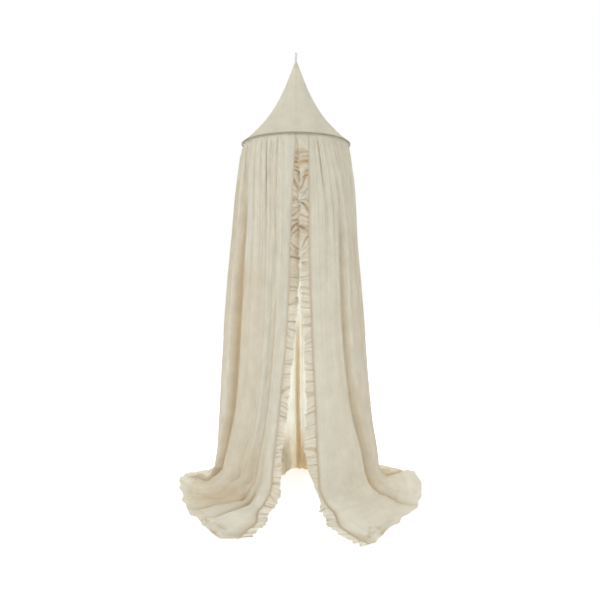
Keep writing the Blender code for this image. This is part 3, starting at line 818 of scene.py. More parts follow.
def crumples(place, part, settings):
    """The soft uneven relief of the muslin between its folds, and how shaded its crushed corners are."""
    across = place[None, :] / SKIRT_SPAN * SKIRT_FLAT_WIDTH
    down = cloth_drop(part)[:, None]
    on_floor = smooth_step(part, 1.0, 1.9)[:, None]
    hanging = smooth_step(part, 0.02, 0.12)[:, None] * (1 - on_floor)
    broad = rolling(across, down, 0.070, 0.45, 61) + 0.4 * rolling(across, down, 0.035, 0.22, 62)
    flat = rolling(across, down, 0.15, 0.20, 63) + 0.45 * rolling(across, down, 0.055, 0.09, 64)
    knee = smooth_step(part, 0.88, 1.2)[:, None] * (1 - smooth_step(part, 1.5, 2.1))[:, None]
    buckle = rolling(across, down, 0.14, 0.08, 65)
    edge = np.minimum(place, SKIRT_SPAN - place)[None, :]
    held = 0.25 + 0.75 * smooth_step(edge, EDGE_FLAT, EDGE_FADE)
    relief = settings.crumple * hanging * broad + settings.floor_crumple * on_floor * flat
    relief = (relief + 0.5 * settings.floor_crumple * knee * buckle) * held
    corner = smooth_step(part, 2.55, 2.9)[:, None] * (1 - smooth_step(edge, 4.0, 16.0))
    crushed = rolling(across, down, 0.040, 0.045, 66) + 0.6 * rolling(across, down, 0.02, 0.022, 67)
    return relief + settings.corner_crumple * corner * crushed, corner * smooth_step(crushed, 0.6, 1.8)


def cloth_drop(part):
    """Length of cloth from the hoop down to each part."""
    return np.interp(part, column(DROPS, "part"), column(DROPS, "length"))


def settle(points, least):
    """Keep points softly above the floor."""
    over = (points[..., 2] - least) / FLOOR_SOFTNESS
    soft = least + FLOOR_SOFTNESS * np.log1p(np.exp(np.minimum(over, 9.0)))
    points[..., 2] = np.where(over < 4.0, soft, points[..., 2])
    return points


def surface_normals(points):
    """Normals of a grid of points, outwards and upwards."""
    return unit(np.cross(np.gradient(points, axis=1), np.gradient(points, axis=0)))


def bend_columns(surface, weight, count, margin, wanted):
    """Indices of the columns of a fine grid that follow its bends best, closer where weight is
    more, with the wanted ones among them. None lies within margin of either edge but the edge
    itself and the one at the margin."""
    last = surface.shape[1] - 1
    kept = sorted({0, margin, last - margin, last, *wanted})
    every = np.arange(margin, last - margin + 1)
    while len(kept) < count:
        kept.sort()
        after = np.clip(np.searchsorted(kept, every, side="right"), 1, len(kept) - 1)
        start = surface[:, np.array(kept)[after - 1]]
        chord = unit(surface[:, np.array(kept)[after]] - start)
        off = surface[:, every] - start
        off = off - chord * np.sum(off * chord, axis=2, keepdims=True)
        far = np.linalg.norm(off, axis=2).max(axis=0)
        room = (every - np.array(kept)[after - 1]) > 1
        kept.append(int(every[np.argmax(far * room * weight[every])]))
    return np.array(sorted(kept))


def skirt_rows():
    """The parts of the drop that have a row."""
    runs = [np.linspace(run.start, run.end, run.rows, endpoint=False) for run in SKIRT_RUNS]
    return np.append(np.concatenate(runs), SKIRT_RUNS[-1].end)


@functools.cache
def skirt_grid():
    """Places, parts, points, normals and fold shades of the skirt as drawn."""
    settings = bpy.context.scene.canopy_skirt
    place = np.linspace(0.0, SKIRT_SPAN, FINE_COLUMNS)
    part = skirt_rows()
    base = skirt_base(place, part)
    across, down = slopes(skirt_base, place, part)
    outward = unit(np.cross(across, down))
    depth, lean, shade = fold_relief(place, part, across, settings)
    relief, spots = crumples(place, part, settings)
    depth = depth + relief
    # Painted shade on the crushed front corners as well
    shade = np.clip(shade + 0.8 * spots, 0.0, 1.0)
    points = base - outward * depth[:, :, None] + unit(across) * lean[:, :, None]
    points = settle(points, settings.hem_thickness / 2)
    front = 1 + (FRONT_FAVOUR - 1) * smooth_step(np.abs(place - SKIRT_SPAN / 2), 55.0, 75.0)
    lines = [line.hoop for line in LINES if line.width] + [gather.place for gather in FRONT_GATHERS]
    for side in (-STRIPE_HALF, STRIPE_HALF):
        lines += [STRIPE_PLACE + side * share for share in (0.6, 0.85, 1.15, 1.4)]
    wanted = np.searchsorted(place, lines).tolist()
    columns = bend_columns(points[::4], front, SKIRT_COLUMNS, EDGE_COLUMNS, wanted)
    points = points[:, columns]
    return place[columns], part, points, surface_normals(points), shade[:, columns]


# ---------------------------------------------------------------- meshes


def new_piece(name, points, faces, material, flat=None, shade=None):
    """A smooth mesh object at the origin, shifted so that the hook is at zero. flat is the place of
    each point on the flat cloth in metres, and shade the painted shade of each point, kept as its fold
    attribute."""
    points = np.asarray(points, dtype=float) - np.array([0.0, 0.0, HOOK_HEIGHT])
    mesh = bpy.data.meshes.new(name)
    mesh.from_pydata(points.tolist(), [], [list(map(int, face)) for face in faces])
    mesh.validate()
    if flat is not None:
        layer = mesh.uv_layers.new(name="cloth")
        loops = np.empty(len(mesh.loops), dtype=np.int32)
        mesh.loops.foreach_get("vertex_index", loops)
        layer.data.foreach_set("uv", np.asarray(flat, dtype=np.float32)[loops].ravel())
    if shade is not None:
        # The painted shade is kept as the fold attribute, which the muslin reads
        painted_shade_layer = mesh.attributes.new("fold", "FLOAT", "POINT")
        painted_shade_layer.data.foreach_set("value", np.asarray(shade, dtype=np.float32).ravel())
    mesh.shade_smooth()
    mesh.set_sharp_from_angle(angle=math.radians(60.0))
    mesh.materials.append(material)
    made = bpy.data.objects.new(name, mesh)
    bpy.context.scene.collection.objects.link(made)
    return made


def sheet_piece(name, middle, normals, thickness, flat, shade, material, around=False):
    """A thin closed sheet on both sides of a grid of points."""
    rows, columns = middle.shape[:2]
    half = normals * (np.broadcast_to(thickness, (rows, columns)) / 2)[:, :, None]
    index = np.arange(rows * columns).reshape(rows, columns)
    if around:
        index = np.concatenate([index, index[:, :1]], axis=1)
    count = rows * columns
    a, b = index[:-1, :-1], index[1:, :-1]
    c, d = index[1:, 1:], index[:-1, 1:]
    sides = [np.stack([a, d, c, b], axis=-1), np.stack([a, b, c, d], axis=-1) + count]
    top, low = index[0], index[-1]
    edges = [(top[1:], top[:-1]), (low[:-1], low[1:])]
    if not around:
        edges += [(index[:-1, 0], index[1:, 0]), (index[1:, -1], index[:-1, -1])]
    sides += [np.stack([e, f, f + count, e + count], axis=-1) for e, f in edges]
    faces = np.concatenate([side.reshape(-1, 4) for side in sides])
    points = np.concatenate([(middle + half).reshape(-1, 3), (middle - half).reshape(-1, 3)])
    return new_piece(
        name, points, faces, material,
        np.concatenate([flat.reshape(-1, 2)] * 2), np.concatenate([shade.ravel()] * 2),
    )


def tube_piece(name, path, side, profile, material, shade=None):
    """A closed ring of a bar. side is a direction across the path at each point, and profile the
    places round the bar: a row for each point, or one for all."""
    path = np.asarray(path, dtype=float)
    ahead = unit(np.roll(path, -1, axis=0) - np.roll(path, 1, axis=0))
    side = unit(side - ahead * np.sum(side * ahead, axis=1)[:, None])
    up = np.cross(side, ahead)
    profile = np.broadcast_to(profile, (len(path),) + profile.shape[-2:])
    points = path[:, None] + side[:, None] * profile[:, :, :1] + up[:, None] * profile[:, :, 1:]
    count = profile.shape[1]
    index = np.arange(len(path) * count).reshape(len(path), count)
    after, beside = np.roll(index, -1, axis=0), np.roll(index, -1, axis=1)
    across = np.roll(after, -1, axis=1)
    faces = np.stack([index, after, across, beside], axis=-1).reshape(-1, 4)
    length = np.linalg.norm(np.diff(path, axis=0), axis=1)
    along = np.concatenate([[0.0], np.cumsum(length)])
    round_it = np.linspace(0.0, 1.0, count, endpoint=False)
    flat = np.stack(np.broadcast_arrays(along[:, None], round_it[None, :] * 0.01), axis=-1)
    return new_piece(name, points.reshape(-1, 3), faces, material, flat.reshape(-1, 2), shade)


# ---------------------------------------------------------------- materials


def add_node(tree, kind, inputs=None, **settings):
    """A node with its settings, and its inputs set by name or number to values or linked."""
    made = tree.nodes.new(kind)
    for name, value in settings.items():
        setattr(made, name, value)
    for name, value in (inputs or {}).items():
        if isinstance(value, bpy.types.NodeSocket):
            tree.links.new(value, made.inputs[name])
        else:
            made.inputs[name].default_value = value
    return made


def maths(tree, operation, *values):
    """One sum on numbers or sockets."""
    node = add_node(tree, "ShaderNodeMath", dict(enumerate(values)), operation=operation)
    return node.outputs[0]


def group_tree(name, inputs, outputs):
    """An empty shader group with named inputs and outputs."""
    tree = bpy.data.node_groups.new(name, "ShaderNodeTree")
    for title, kind, default in inputs:
        socket = tree.interface.new_socket(title, in_out="INPUT", socket_type=kind)
        if default is not None:
            socket.default_value = default
    for title, kind in outputs:
        tree.interface.new_socket(title, in_out="OUTPUT", socket_type=kind)
    return tree, tree.nodes.new("NodeGroupInput"), tree.nodes.new("NodeGroupOutput")


@functools.cache
def weave_group():
    """Plain weave: threads that go over and under each other."""
    tree, source, result = group_tree(
        "plain_weave",
        [("Vector", "NodeSocketVector", None), ("Pitch", "NodeSocketFloat", 0.001)],
        [("Height", "NodeSocketFloat")],
    )
    split = add_node(tree, "ShaderNodeSeparateXYZ", {0: source.outputs["Vector"]})
    turns = maths(tree, "DIVIDE", math.pi, source.outputs["Pitch"])
    warp = maths(tree, "SINE", maths(tree, "MULTIPLY", split.outputs[0], turns))
    weft = maths(tree, "SINE", maths(tree, "MULTIPLY", split.outputs[1], turns))
    over = add_node(
        tree, "ShaderNodeMapRange",
        {"Value": maths(tree, "MULTIPLY", warp, weft), "From Min": -0.25, "From Max": 0.25},
    )
    mixed = add_node(
        tree, "ShaderNodeMix",
        {
            0: over.outputs[0],
            2: maths(tree, "ABSOLUTE", warp),
            3: maths(tree, "ABSOLUTE", weft),
        },
        data_type="FLOAT",
    )
    tree.links.new(mixed.outputs[0], result.inputs[0])
    return tree


@functools.cache
def slub_group():
    """Thick and thin threads both ways, and soft blotches, as a tone round one half."""
    tree, source, result = group_tree(
        "thread_slubs",
        [("Vector", "NodeSocketVector", None), ("Blotch", "NodeSocketFloat", 15.0)],
        [("Tone", "NodeSocketFloat"), ("Slub", "NodeSocketFloat"), ("Streak", "NodeSocketFloat")],
    )
    threads = []
    for scale in ((900.0, 14.0, 1.0), (14.0, 900.0, 1.0), (150.0, 1.6, 1.0)):
        turned = add_node(
            tree, "ShaderNodeVectorMath", {0: source.outputs["Vector"], 1: scale}, operation="MULTIPLY"
        )
        noise = add_node(
            tree, "ShaderNodeTexNoise", {"Vector": turned.outputs[0], "Scale": 1.0, "Detail": 2.0}
        )
        threads.append(noise.outputs[0])
    both = maths(tree, "MULTIPLY", maths(tree, "ADD", *threads[:2]), 0.5)
    blotch = add_node(
        tree, "ShaderNodeTexNoise",
        {"Vector": source.outputs["Vector"], "Scale": source.outputs["Blotch"], "Detail": 4.0},
    )
    tone = maths(
        tree, "ADD", maths(tree, "MULTIPLY", both, 0.5), maths(tree, "MULTIPLY", blotch.outputs[0], 0.5)
    )
    tree.links.new(tone, result.inputs["Tone"])
    tree.links.new(both, result.inputs["Slub"])
    tree.links.new(threads[2], result.inputs["Streak"])
    return tree


@functools.cache
def crinkle_group():
    """The fine crinkles of washed muslin, longer down the cloth than across it."""
    tree, source, result = group_tree(
        "washed_crinkle",
        [("Vector", "NodeSocketVector", None), ("Size", "NodeSocketFloat", 60.0)],
        [("Height", "NodeSocketFloat")],
    )
    turned = add_node(
        tree, "ShaderNodeVectorMath",
        {0: source.outputs["Vector"], 1: (1.0, 0.45, 1.0)}, operation="MULTIPLY",
    )
    coarse = add_node(
        tree, "ShaderNodeTexNoise",
        {"Vector": turned.outputs[0], "Scale": source.outputs["Size"], "Detail": 3.0,
         "Roughness": 0.55, "Distortion": 0.6},
    )
    ridge = maths(tree, "ABSOLUTE", maths(tree, "SUBTRACT", coarse.outputs[0], 0.5))
    fine = add_node(
        tree, "ShaderNodeTexNoise",
        {"Vector": turned.outputs[0], "Scale": maths(tree, "MULTIPLY", source.outputs["Size"], 3.4),
         "Detail": 2.0},
    )
    total = maths(
        tree, "ADD", maths(tree, "MULTIPLY", ridge, -2.0), maths(tree, "MULTIPLY", fine.outputs[0], 0.35)
    )
    tree.links.new(total, result.inputs["Height"])
    return tree


def new_material(name):
    """A material with nothing but its output and a Principled shader."""
    made = bpy.data.materials.new(name)
    made.use_nodes = True
    tree = made.node_tree
    return made, tree, tree.nodes["Principled BSDF"], tree.nodes["Material Output"]


@functools.cache
def muslin(name="natural_muslin", crinkle=34.0, crinkle_height=0.0032, colour=None, crease=None):
    """Natural muslin: woven, slubbed, a little crinkled, lit through from behind, and painted with shade
    towards the crease colour where its fold attribute says.
    """
    settings = bpy.context.scene.canopy_cloth
    made, tree, shader, result = new_material(name)
    cloth = add_node(tree, "ShaderNodeUVMap", uv_map="cloth").outputs[0]
    weave = add_node(tree, "ShaderNodeGroup", node_tree=weave_group())
    slubs = add_node(tree, "ShaderNodeGroup", node_tree=slub_group())
    folds = add_node(tree, "ShaderNodeGroup", node_tree=crinkle_group())
    for node in (weave, slubs, folds):
        tree.links.new(cloth, node.inputs["Vector"])
    weave.inputs["Pitch"].default_value = settings.thread
    folds.inputs["Size"].default_value = crinkle
    # The painted shade of each point, which takes the colour towards the crease colour
    fold = add_node(tree, "ShaderNodeAttribute", attribute_name="fold", attribute_type="GEOMETRY")
    mixed_tone = maths(
        tree, "ADD",
        maths(tree, "MULTIPLY", slubs.outputs["Tone"], 0.8),
        maths(tree, "MULTIPLY", slubs.outputs["Streak"], 0.2),
    )
    tone = add_node(
        tree, "ShaderNodeMapRange",
        {"Value": mixed_tone, "From Min": 0.35, "From Max": 0.65, "To Min": 0.90, "To Max": 1.05},
    )

    def toned(colour):
        """A colour with painted shade, going to the crease colour where the fold attribute says, and varied
        with the threads.
        """
        warm = add_node(
            tree, "ShaderNodeMix",
            {0: fold.outputs["Fac"], 6: (*colour, 1.0), 7: (*(crease or settings.fold_shade_colour), 1.0)},
            data_type="RGBA",
        )
        return add_node(
            tree, "ShaderNodeMix", {0: 1.0, 6: warm.outputs[2], 7: tone.outputs[0]},
            data_type="RGBA", blend_type="MULTIPLY",
        ).outputs[2]

    bumps = None
    for height, distance in (
        (folds.outputs["Height"], crinkle_height),
        (slubs.outputs["Slub"], 0.00035),
        (weave.outputs["Height"], 0.00012),
    ):
        inputs = {"Height": height, "Distance": distance, "Strength": 1.0}
        if bumps is not None:
            inputs["Normal"] = bumps.outputs[0]
        bumps = add_node(tree, "ShaderNodeBump", inputs)
    tree.links.new(toned(colour or settings.colour), shader.inputs["Base Color"])
    shader.inputs["Roughness"].default_value = 0.92
    shader.inputs["Specular IOR Level"].default_value = 0.18
    shader.inputs["Sheen Weight"].default_value = 0.12
    shader.inputs["Sheen Roughness"].default_value = 0.5
    tree.links.new(bumps.outputs[0], shader.inputs["Normal"])
    glow = add_node(
        tree, "ShaderNodeBsdfTranslucent",
        {"Color": toned(settings.through_colour), "Normal": bumps.outputs[0]},
    )
    both = add_node(
        tree, "ShaderNodeMixShader",
        {0: settings.through, 1: shader.outputs[0], 2: glow.outputs[0]},
    )
    tree.links.new(both.outputs[0], result.inputs["Surface"])
    return made


@functools.cache
def plain_cloth(name, colour, pitch, bump):
    """Cotton that no light comes through: the hoop's cover, the cord or the sewing thread."""
    made, tree, shader, _ = new_material(name)
    where = add_node(tree, "ShaderNodeTexCoord").outputs["Object"]
    slubs = add_node(tree, "ShaderNodeGroup", {"Vector": where, "Blotch": 30.0}, node_tree=slub_group())
    weave = add_node(tree, "ShaderNodeGroup", {"Vector": where, "Pitch": pitch}, node_tree=weave_group())
    tone = add_node(
        tree, "ShaderNodeMapRange",
        {"Value": slubs.outputs["Tone"], "From Min": 0.3, "From Max": 0.7, "To Min": 0.80, "To Max": 1.08},
    )
    mixed = add_node(
        tree, "ShaderNodeMix", {0: 1.0, 6: (*colour, 1.0), 7: tone.outputs[0]},
        data_type="RGBA", blend_type="MULTIPLY",
    )
    relief = add_node(
        tree, "ShaderNodeBump", {"Height": weave.outputs["Height"], "Distance": bump, "Strength": 0.8}
    )
    tree.links.new(mixed.outputs[2], shader.inputs["Base Color"])
    tree.links.new(relief.outputs[0], shader.inputs["Normal"])
    shader.inputs["Roughness"].default_value = 0.85
    shader.inputs["Specular IOR Level"].default_value = 0.2
    return made


# ---------------------------------------------------------------- pieces


class CANOPY_OT_loop(bpy.types.Operator):
    """Make the twisted cord loop that the canopy hangs from"""

    bl_idname = "canopy.loop"
    bl_label = "Hanging loop"

    def execute(self, context):
        half = LOOP_WIDTH / 2
        low = HOOP_HEIGHT + CONE_HEIGHT - LOOP_TUCK
        high = HOOK_HEIGHT + CORD_RADIUS - half
        arc = np.linspace(0.0, math.pi, 33)
        side = np.linspace(0.0, 1.0, 90)[1:-1]
        nothing = 0 * side
        across = np.concatenate(
            [half * np.cos(arc), nothing - half, -half * np.cos(arc), nothing + half]
        )
        rise = high - low
        height = np.concatenate(
            [high + half * np.sin(arc), high - rise * side, low - half * np.sin(arc), low + rise * side]
        )
        swaying = 1 - LOOP_STRAIGHT
        share = np.clip((height - low) / rise - LOOP_STRAIGHT, 0.0, swaying) / swaying
        path = np.stack(
            [across - LOOP_SWAY * np.sin(2 * math.pi * share), 0 * across, height], axis=1
        )
        twist = 2 * math.pi * CORD_TURNS * np.linspace(0.0, 1.0, len(path), endpoint=False)
        turn = np.linspace(0.0, 2 * math.pi, 18, endpoint=False)
        strands = CORD_STRANDS * (turn[None, :] - twist[:, None] / CORD_STRANDS)
        lobes = CORD_RADIUS * (0.86 + 0.14 * np.cos(strands))
        profile = np.stack([lobes * np.cos(turn), lobes * np.sin(turn)], axis=-1)
        facing = np.tile((0.0, 1.0, 0.0), (len(path), 1))
        colour = tuple(context.scene.canopy_cloth.cord_colour)
        finish = plain_cloth("cotton_cord", colour, 0.0006, 0.0001)
        made = tube_piece("loop_cord", path, facing, profile, finish)
        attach(made, "root")
        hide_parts("hanging_loop")
        return {"FINISHED"}


def cone_profile():
    """Height over the hoop, radius, way down the slope and outward direction of the pointed top."""
    outline = np.stack([column(CONE_OUTLINE, "height"), column(CONE_OUTLINE, "radius")], axis=1)
    fine = even_curve(np.linspace(0.0, 1.0, len(outline)), outline, np.linspace(0.0, 1.0, 64))
    height = np.append(fine[:, 0], [0.004, 0.002, 0.0])
    radius = np.append(fine[:, 1], [BAND_RADIUS] * 3)
    slant = np.concatenate([[0.0], np.cumsum(np.hypot(np.diff(height), np.diff(radius)))])
    inward = np.gradient(np.stack([radius, height], axis=1), axis=0)
    return height, radius, slant, unit(np.stack([-inward[:, 1], inward[:, 0]], axis=1))


class CANOPY_OT_cone(bpy.types.Operator):
    """Make the smooth pointed top with its seam down the front"""

    bl_idname = "canopy.cone"
    bl_label = "Pointed top"

    def execute(self, context):
        thickness = context.scene.canopy_skirt.thickness
        height, radius, slant, normal = cone_profile()
        turn = np.linspace(0.0, 2 * math.pi, 361)[:-1]
        front = np.minimum(turn, 2 * math.pi - turn)
        gap = front[None, :] * radius[:, None]
        end = slant[-1]
        body = smooth_step(slant, 0.02, 0.10) * (1 - smooth_step(slant, end - 0.05, end - 0.005))
        around = turn[None, :] / (2 * math.pi) * CONE_FLAT[0]
        pull = rolling(around, slant[:, None] + 0 * turn, 0.16, 0.5, 71)
        pull = pull + 0.4 * np.sin(turn * 22)[None, :] * smooth_step(slant, 0.16, 0.02)[:, None]
        ridge = np.exp(-((gap / SEAM_WIDTH) ** 4)) - 0.9 * np.exp(-((gap / SEAM_GROOVE) ** 2))
        relief = CONE_PULL * body[:, None] * pull + SEAM_HEIGHT * ridge
        across = np.stack([-np.sin(turn), -np.cos(turn)], axis=1)
        offset = radius[:, None] + normal[:, :1] * relief
        points = np.concatenate(
            [
                offset[:, :, None] * across[None, :, :],
                (HOOP_HEIGHT + height[:, None] + normal[:, 1:] * relief)[:, :, None],
            ],
            axis=2,
        )
        normals = np.concatenate(
            [
                normal[:, :1, None] * across[None, :, :],
                np.broadcast_to(normal[:, 1:, None], (len(height), len(turn), 1)),
            ],
            axis=2,
        )
        flat = np.stack(np.broadcast_arrays(radius[:, None] * front[None, :], slant[:, None]), axis=-1)
        # The top's colour is painted darker, towards the shade colour, along its seam and in a band at its
        # lower rim over the hoop
        shade = 0.15 * np.exp(-((gap / 0.0015) ** 2))
        shade = shade + 0.25 * smooth_step(slant, end - 0.02, end)[:, None]
        # Painted shade: the top's muslin is a copy a little darker and warmer than the skirt's, against the
        # light that comes through it
        made = sheet_piece(
            "cone_cloth", points, normals, thickness, flat, shade,
            muslin("cone_muslin", 45.0, 0.0007, (0.715, 0.688, 0.585)), around=True,
        )
        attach(made, "root")
        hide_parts("cone_top")
        return {"FINISHED"}


class CANOPY_OT_hoop(bpy.types.Operator):
    """Make the slim hoop in its cover"""

    bl_idname = "canopy.hoop"
    bl_label = "Covered hoop"

    def execute(self, context):
        turn = np.linspace(0.0, 2 * math.pi, 721)[:-1]
        radius = HOOP_OUTER_RADIUS - HOOP_TUBE_RADIUS
        height = np.full(turn.shape, HOOP_HEIGHT)
        path = np.stack([-radius * np.sin(turn), -radius * np.cos(turn), height], axis=1)
        outward = unit(path - np.array([0.0, 0.0, HOOP_HEIGHT]))
        around = np.linspace(0.0, 2 * math.pi, 16, endpoint=False)
        pucker = rolling(turn[:, None] * radius, around[None, :] * 0.004, 0.018, 0.02, 83)
        seam = np.exp(-(((np.cos(around)[None, :] + 1.0) / 0.10) ** 2))
        bar = HOOP_TUBE_RADIUS * (COVER_BAR + COVER_PUCKER * pucker - COVER_SEAM * seam)
        bar = np.minimum(bar, HOOP_TUBE_RADIUS)
        profile = np.stack([bar * np.cos(around), bar * np.sin(around)], axis=-1)
        colour = tuple(context.scene.canopy_cloth.hoop_colour)
        finish = plain_cloth("taupe_cotton", colour, 0.0009, 0.0002)
        made = tube_piece("hoop_cover", path, outward, profile, finish)
        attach(made, "root")
        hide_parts("hoop")
        return {"FINISHED"}


class CANOPY_OT_skirt(bpy.types.Operator):
    """Make the gathered skirt with its folds and the hem on the floor"""

    bl_idname = "canopy.skirt"
    bl_label = "Gathered skirt"

    def execute(self, context):
        settings = context.scene.canopy_skirt
        place, part, points, normals, shade = skirt_grid()
        drop = cloth_drop(part)
        flat = np.stack(
            np.broadcast_arrays(place[None, :] / SKIRT_SPAN * SKIRT_FLAT_WIDTH, -drop[:, None]), axis=-1
        )
        hem = smooth_step(part, 2.935, 2.945)[:, None]
        thickness = settings.thickness + (settings.hem_thickness - settings.thickness) * hem
        thickness = np.broadcast_to(thickness, shade.shape)
        made = sheet_piece("skirt_cloth", points, normals, thickness, flat, shade, muslin())
        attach(made, "root")
        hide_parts("skirt")
        return {"FINISHED"}


def read_rows(rows, part, at):
    """A column of points read between its rows."""
    return np.stack([np.interp(at, part, rows[:, k]) for k in range(3)], axis=1)


class CANOPY_OT_ruffles(bpy.types.Operator):
    """Make the gathered ruffle down each opening edge"""

    bl_idname = "canopy.ruffles"
    bl_label = "Ruffles"

    def execute(self, context):
        for ruffle in RUFFLES:
            make_ruffle(ruffle, context.scene.canopy_skirt)
        return {"FINISHED"}


def uneven(run, pitch, chance):
    """A count of waves of about this pitch along a run, closer in some places than in others."""
    count = run / pitch
    for share, speed in ((0.34, 0.83), (0.24, 1.9), (0.10, 3.7)):
        count = count + share * np.sin(count * speed + chance.uniform(0, 2 * math.pi))
    return count


def flutes(count, shift, other):
    """Round flutes with narrow valleys, some deeper than others, from -1 to 1 or so."""
    wave = np.sin(2 * math.pi * count) + 0.55 * np.sin(2 * math.pi * 1.37 * count + shift)
    wave = (wave + 0.35 * np.sin(2 * math.pi * 0.61 * count + other)) / 1.5
    return wave - 0.4 * np.exp(-(((wave + 0.9) / 0.35) ** 2))


def make_ruffle(ruffle, settings):
    """One ruffle, tucked behind its edge of the skirt, gathered there and fluted at its free edge."""
    chance = np.random.default_rng(ruffle.seed)
    _, skirt_part, points, normals, _ = skirt_grid()
    fine = np.linspace(skirt_part[0], skirt_part[-1], 3000)
    step = np.diff(read_rows(points[:, ruffle.edge], skirt_part, fine), axis=0)
    length = np.concatenate([[0.0], np.cumsum(np.linalg.norm(step, axis=1))])
    run = np.linspace(0.0, length[-1], RUFFLE_STEPS)
    part = np.interp(run, length, fine)
    edge = read_rows(points[:, ruffle.edge], skirt_part, part)
    inside = read_rows(points[:, ruffle.beside], skirt_part, part)
    outward = unit(read_rows(normals[:, ruffle.edge], skirt_part, part))
    gap = np.linalg.norm(inside - edge, axis=1)[:, None]
    off = edge - inside
    off = unit(off - outward * np.sum(off * outward, axis=1)[:, None])
    ahead = unit(np.gradient(edge, axis=0))

    begin = smooth_step(part, -0.004, 0.02)
    crowded = 1 - smooth_step(part, 0.28, 0.42)
    bent = smooth_step(part, 0.87, 1.02) * (1 - smooth_step(part, 1.3, 2.0))
    floor = smooth_step(part, 1.6, 2.1)
    big = uneven(run, 2.1 * settings.ruffle_pitch, chance)
    middle = uneven(run, settings.ruffle_pitch, chance)
    tight = uneven(run, 0.36 * settings.ruffle_pitch, chance)
    shifts = chance.uniform(0, 2 * math.pi, 6)
    slant = np.sin(0.9 * big + 1.0) + 0.6 * np.sin(2.3 * big)
    curled = 1 - np.interp(part, *zip(*RUFFLE_CURL[ruffle.name]))
    size = 0.8 + 0.3 * np.sin(0.61 * middle + 1.0) * np.sin(1.7 * middle) + 0.2 * np.sin(2.9 * middle)
    # Painted shade from the table of clusters, in the colour only
    crushed = sum(
        cluster.strength * np.exp(-(((run - cluster.down) / cluster.width) ** 2)) for cluster in RUFFLE_SHADE_CLUSTERS
    )
    calm = 0.2 + 0.8 * smooth_step(run, 0.05, 0.10)
    # Painted shade a way below the hoop, warmer where less light comes through two layers
    set_back_shade = ruffle.warm * smooth_step(run, 0.46, 0.52) * (1 - smooth_step(run, 0.68, 0.80))
    behind = -(settings.thickness + RUFFLE_GAP)
    stand = (ruffle.lift * begin - ruffle.set_in) * (1 - smooth_step(part, 0.38, 0.62))
    bow = (1 - smooth_step(part, 0.7, 1.2)) / (2 * HOOP_OUTER_RADIUS)
    tilt = np.radians(ruffle.lean) * bent
    # shades holds the painted shade of each row
    rows, shades, thick = [], [], []
    for width in (-RUFFLE_TUCK, -0.5 * RUFFLE_TUCK, *np.linspace(0.0010, RUFFLE_WIDTH, RUFFLE_ROWS)):
        if width < 0.0:
            rows.append(edge + (inside - edge) * (-width) / gap + outward * behind)
            shades.append(0.25 * calm)
            thick.append(settings.thickness)
            continue
        share = width / RUFFLE_WIDTH
        opened = share**0.75
        close = math.exp(-share / 0.30) * smooth_step(share, 0.0, 0.08)
        turned = (0.30 + 0.55 * crowded) * slant * share
        large = flutes(big + turned, *shifts[:2])
        flute = flutes(middle + 1.4 * turned, *shifts[2:4])
        pleat = flutes(tight, *shifts[4:])
        wave = settings.ruffle_wave * opened * size * calm
        height = behind + begin * (
            wave * (large * (0.35 + 0.95 * crowded) + flute * (0.85 - 0.15 * crowded))
            + settings.ruffle_pucker * close * pleat
        )
        height = height * (1 - 0.35 * floor) + share * floor * 0.9 * settings.ruffle_wave
        reach = width * (1 - curled * share)
        reach = reach * (1 + opened * (0.07 * np.sin(2.6 * big) - 0.06 * flute - 0.05 * crowded * large))
        height = height + share * stand - bow * reach**2 - reach * np.sin(tilt)
        reach = reach * np.cos(tilt)
        roll = begin * (
            opened * size * (
                FLUTE_SWING * np.sin(2 * math.pi * (middle + 1.4 * turned))
                + WAVE_SWING * crowded * np.sin(2 * math.pi * (big + turned))
            )
            + PUCKER_SWING * close * np.sin(2 * math.pi * tight)
        )
        rows.append(edge + off * reach[:, None] + outward * height[:, None] + ahead * roll[:, None])
        # Painted shade: darker and warmer in the valleys between the flutes, in the clusters, below the hoop
        # and along the seam
        shades.append(
            np.clip(
                (0.62 + 0.55 * crushed) * calm**2 * (
                    smooth_step(-flute, 0.45, 1.35) * (0.75 - 0.45 * share)
                    + 0.6 * crowded * smooth_step(-large, 0.55, 1.25)
                    + 0.6 * close * smooth_step(-pleat, 0.4, 1.3)
                )
                + 0.25 * crushed + set_back_shade + 0.25 * calm * math.exp(-share / 0.06),
                0.0, 1.0,
            )
        )
        thick.append(settings.thickness * (1.0 if share < 0.93 else 1.7))
    surface = np.array(rows)
    least = settings.thickness / 2 + RUFFLE_CLEARANCE
    surface[:, :, 2] = np.maximum(surface[:, :, 2], least)
    across = np.linspace(0.0, RUFFLE_MAP_WIDTH, len(rows))[:, None]
    flat = np.stack(np.broadcast_arrays(RUFFLE_FULLNESS * run[None, :], across), axis=-1)
    cloth = bpy.context.scene.canopy_cloth
    # The ruffles' muslin: the lighter copy, with its own painted shade colour
    finish = muslin(
        "ruffle_muslin", 75.0, 0.0012, tuple(cloth.ruffle_colour), tuple(cloth.ruffle_shade_colour)
    )
    facing = -surface_normals(surface.transpose(1, 0, 2)).transpose(1, 0, 2)
    made = sheet_piece(
        ruffle.name + "_cloth", surface, facing, np.array(thick)[:, None], flat, np.array(shades), finish
    )
    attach(made, "root")
    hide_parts(ruffle.name)


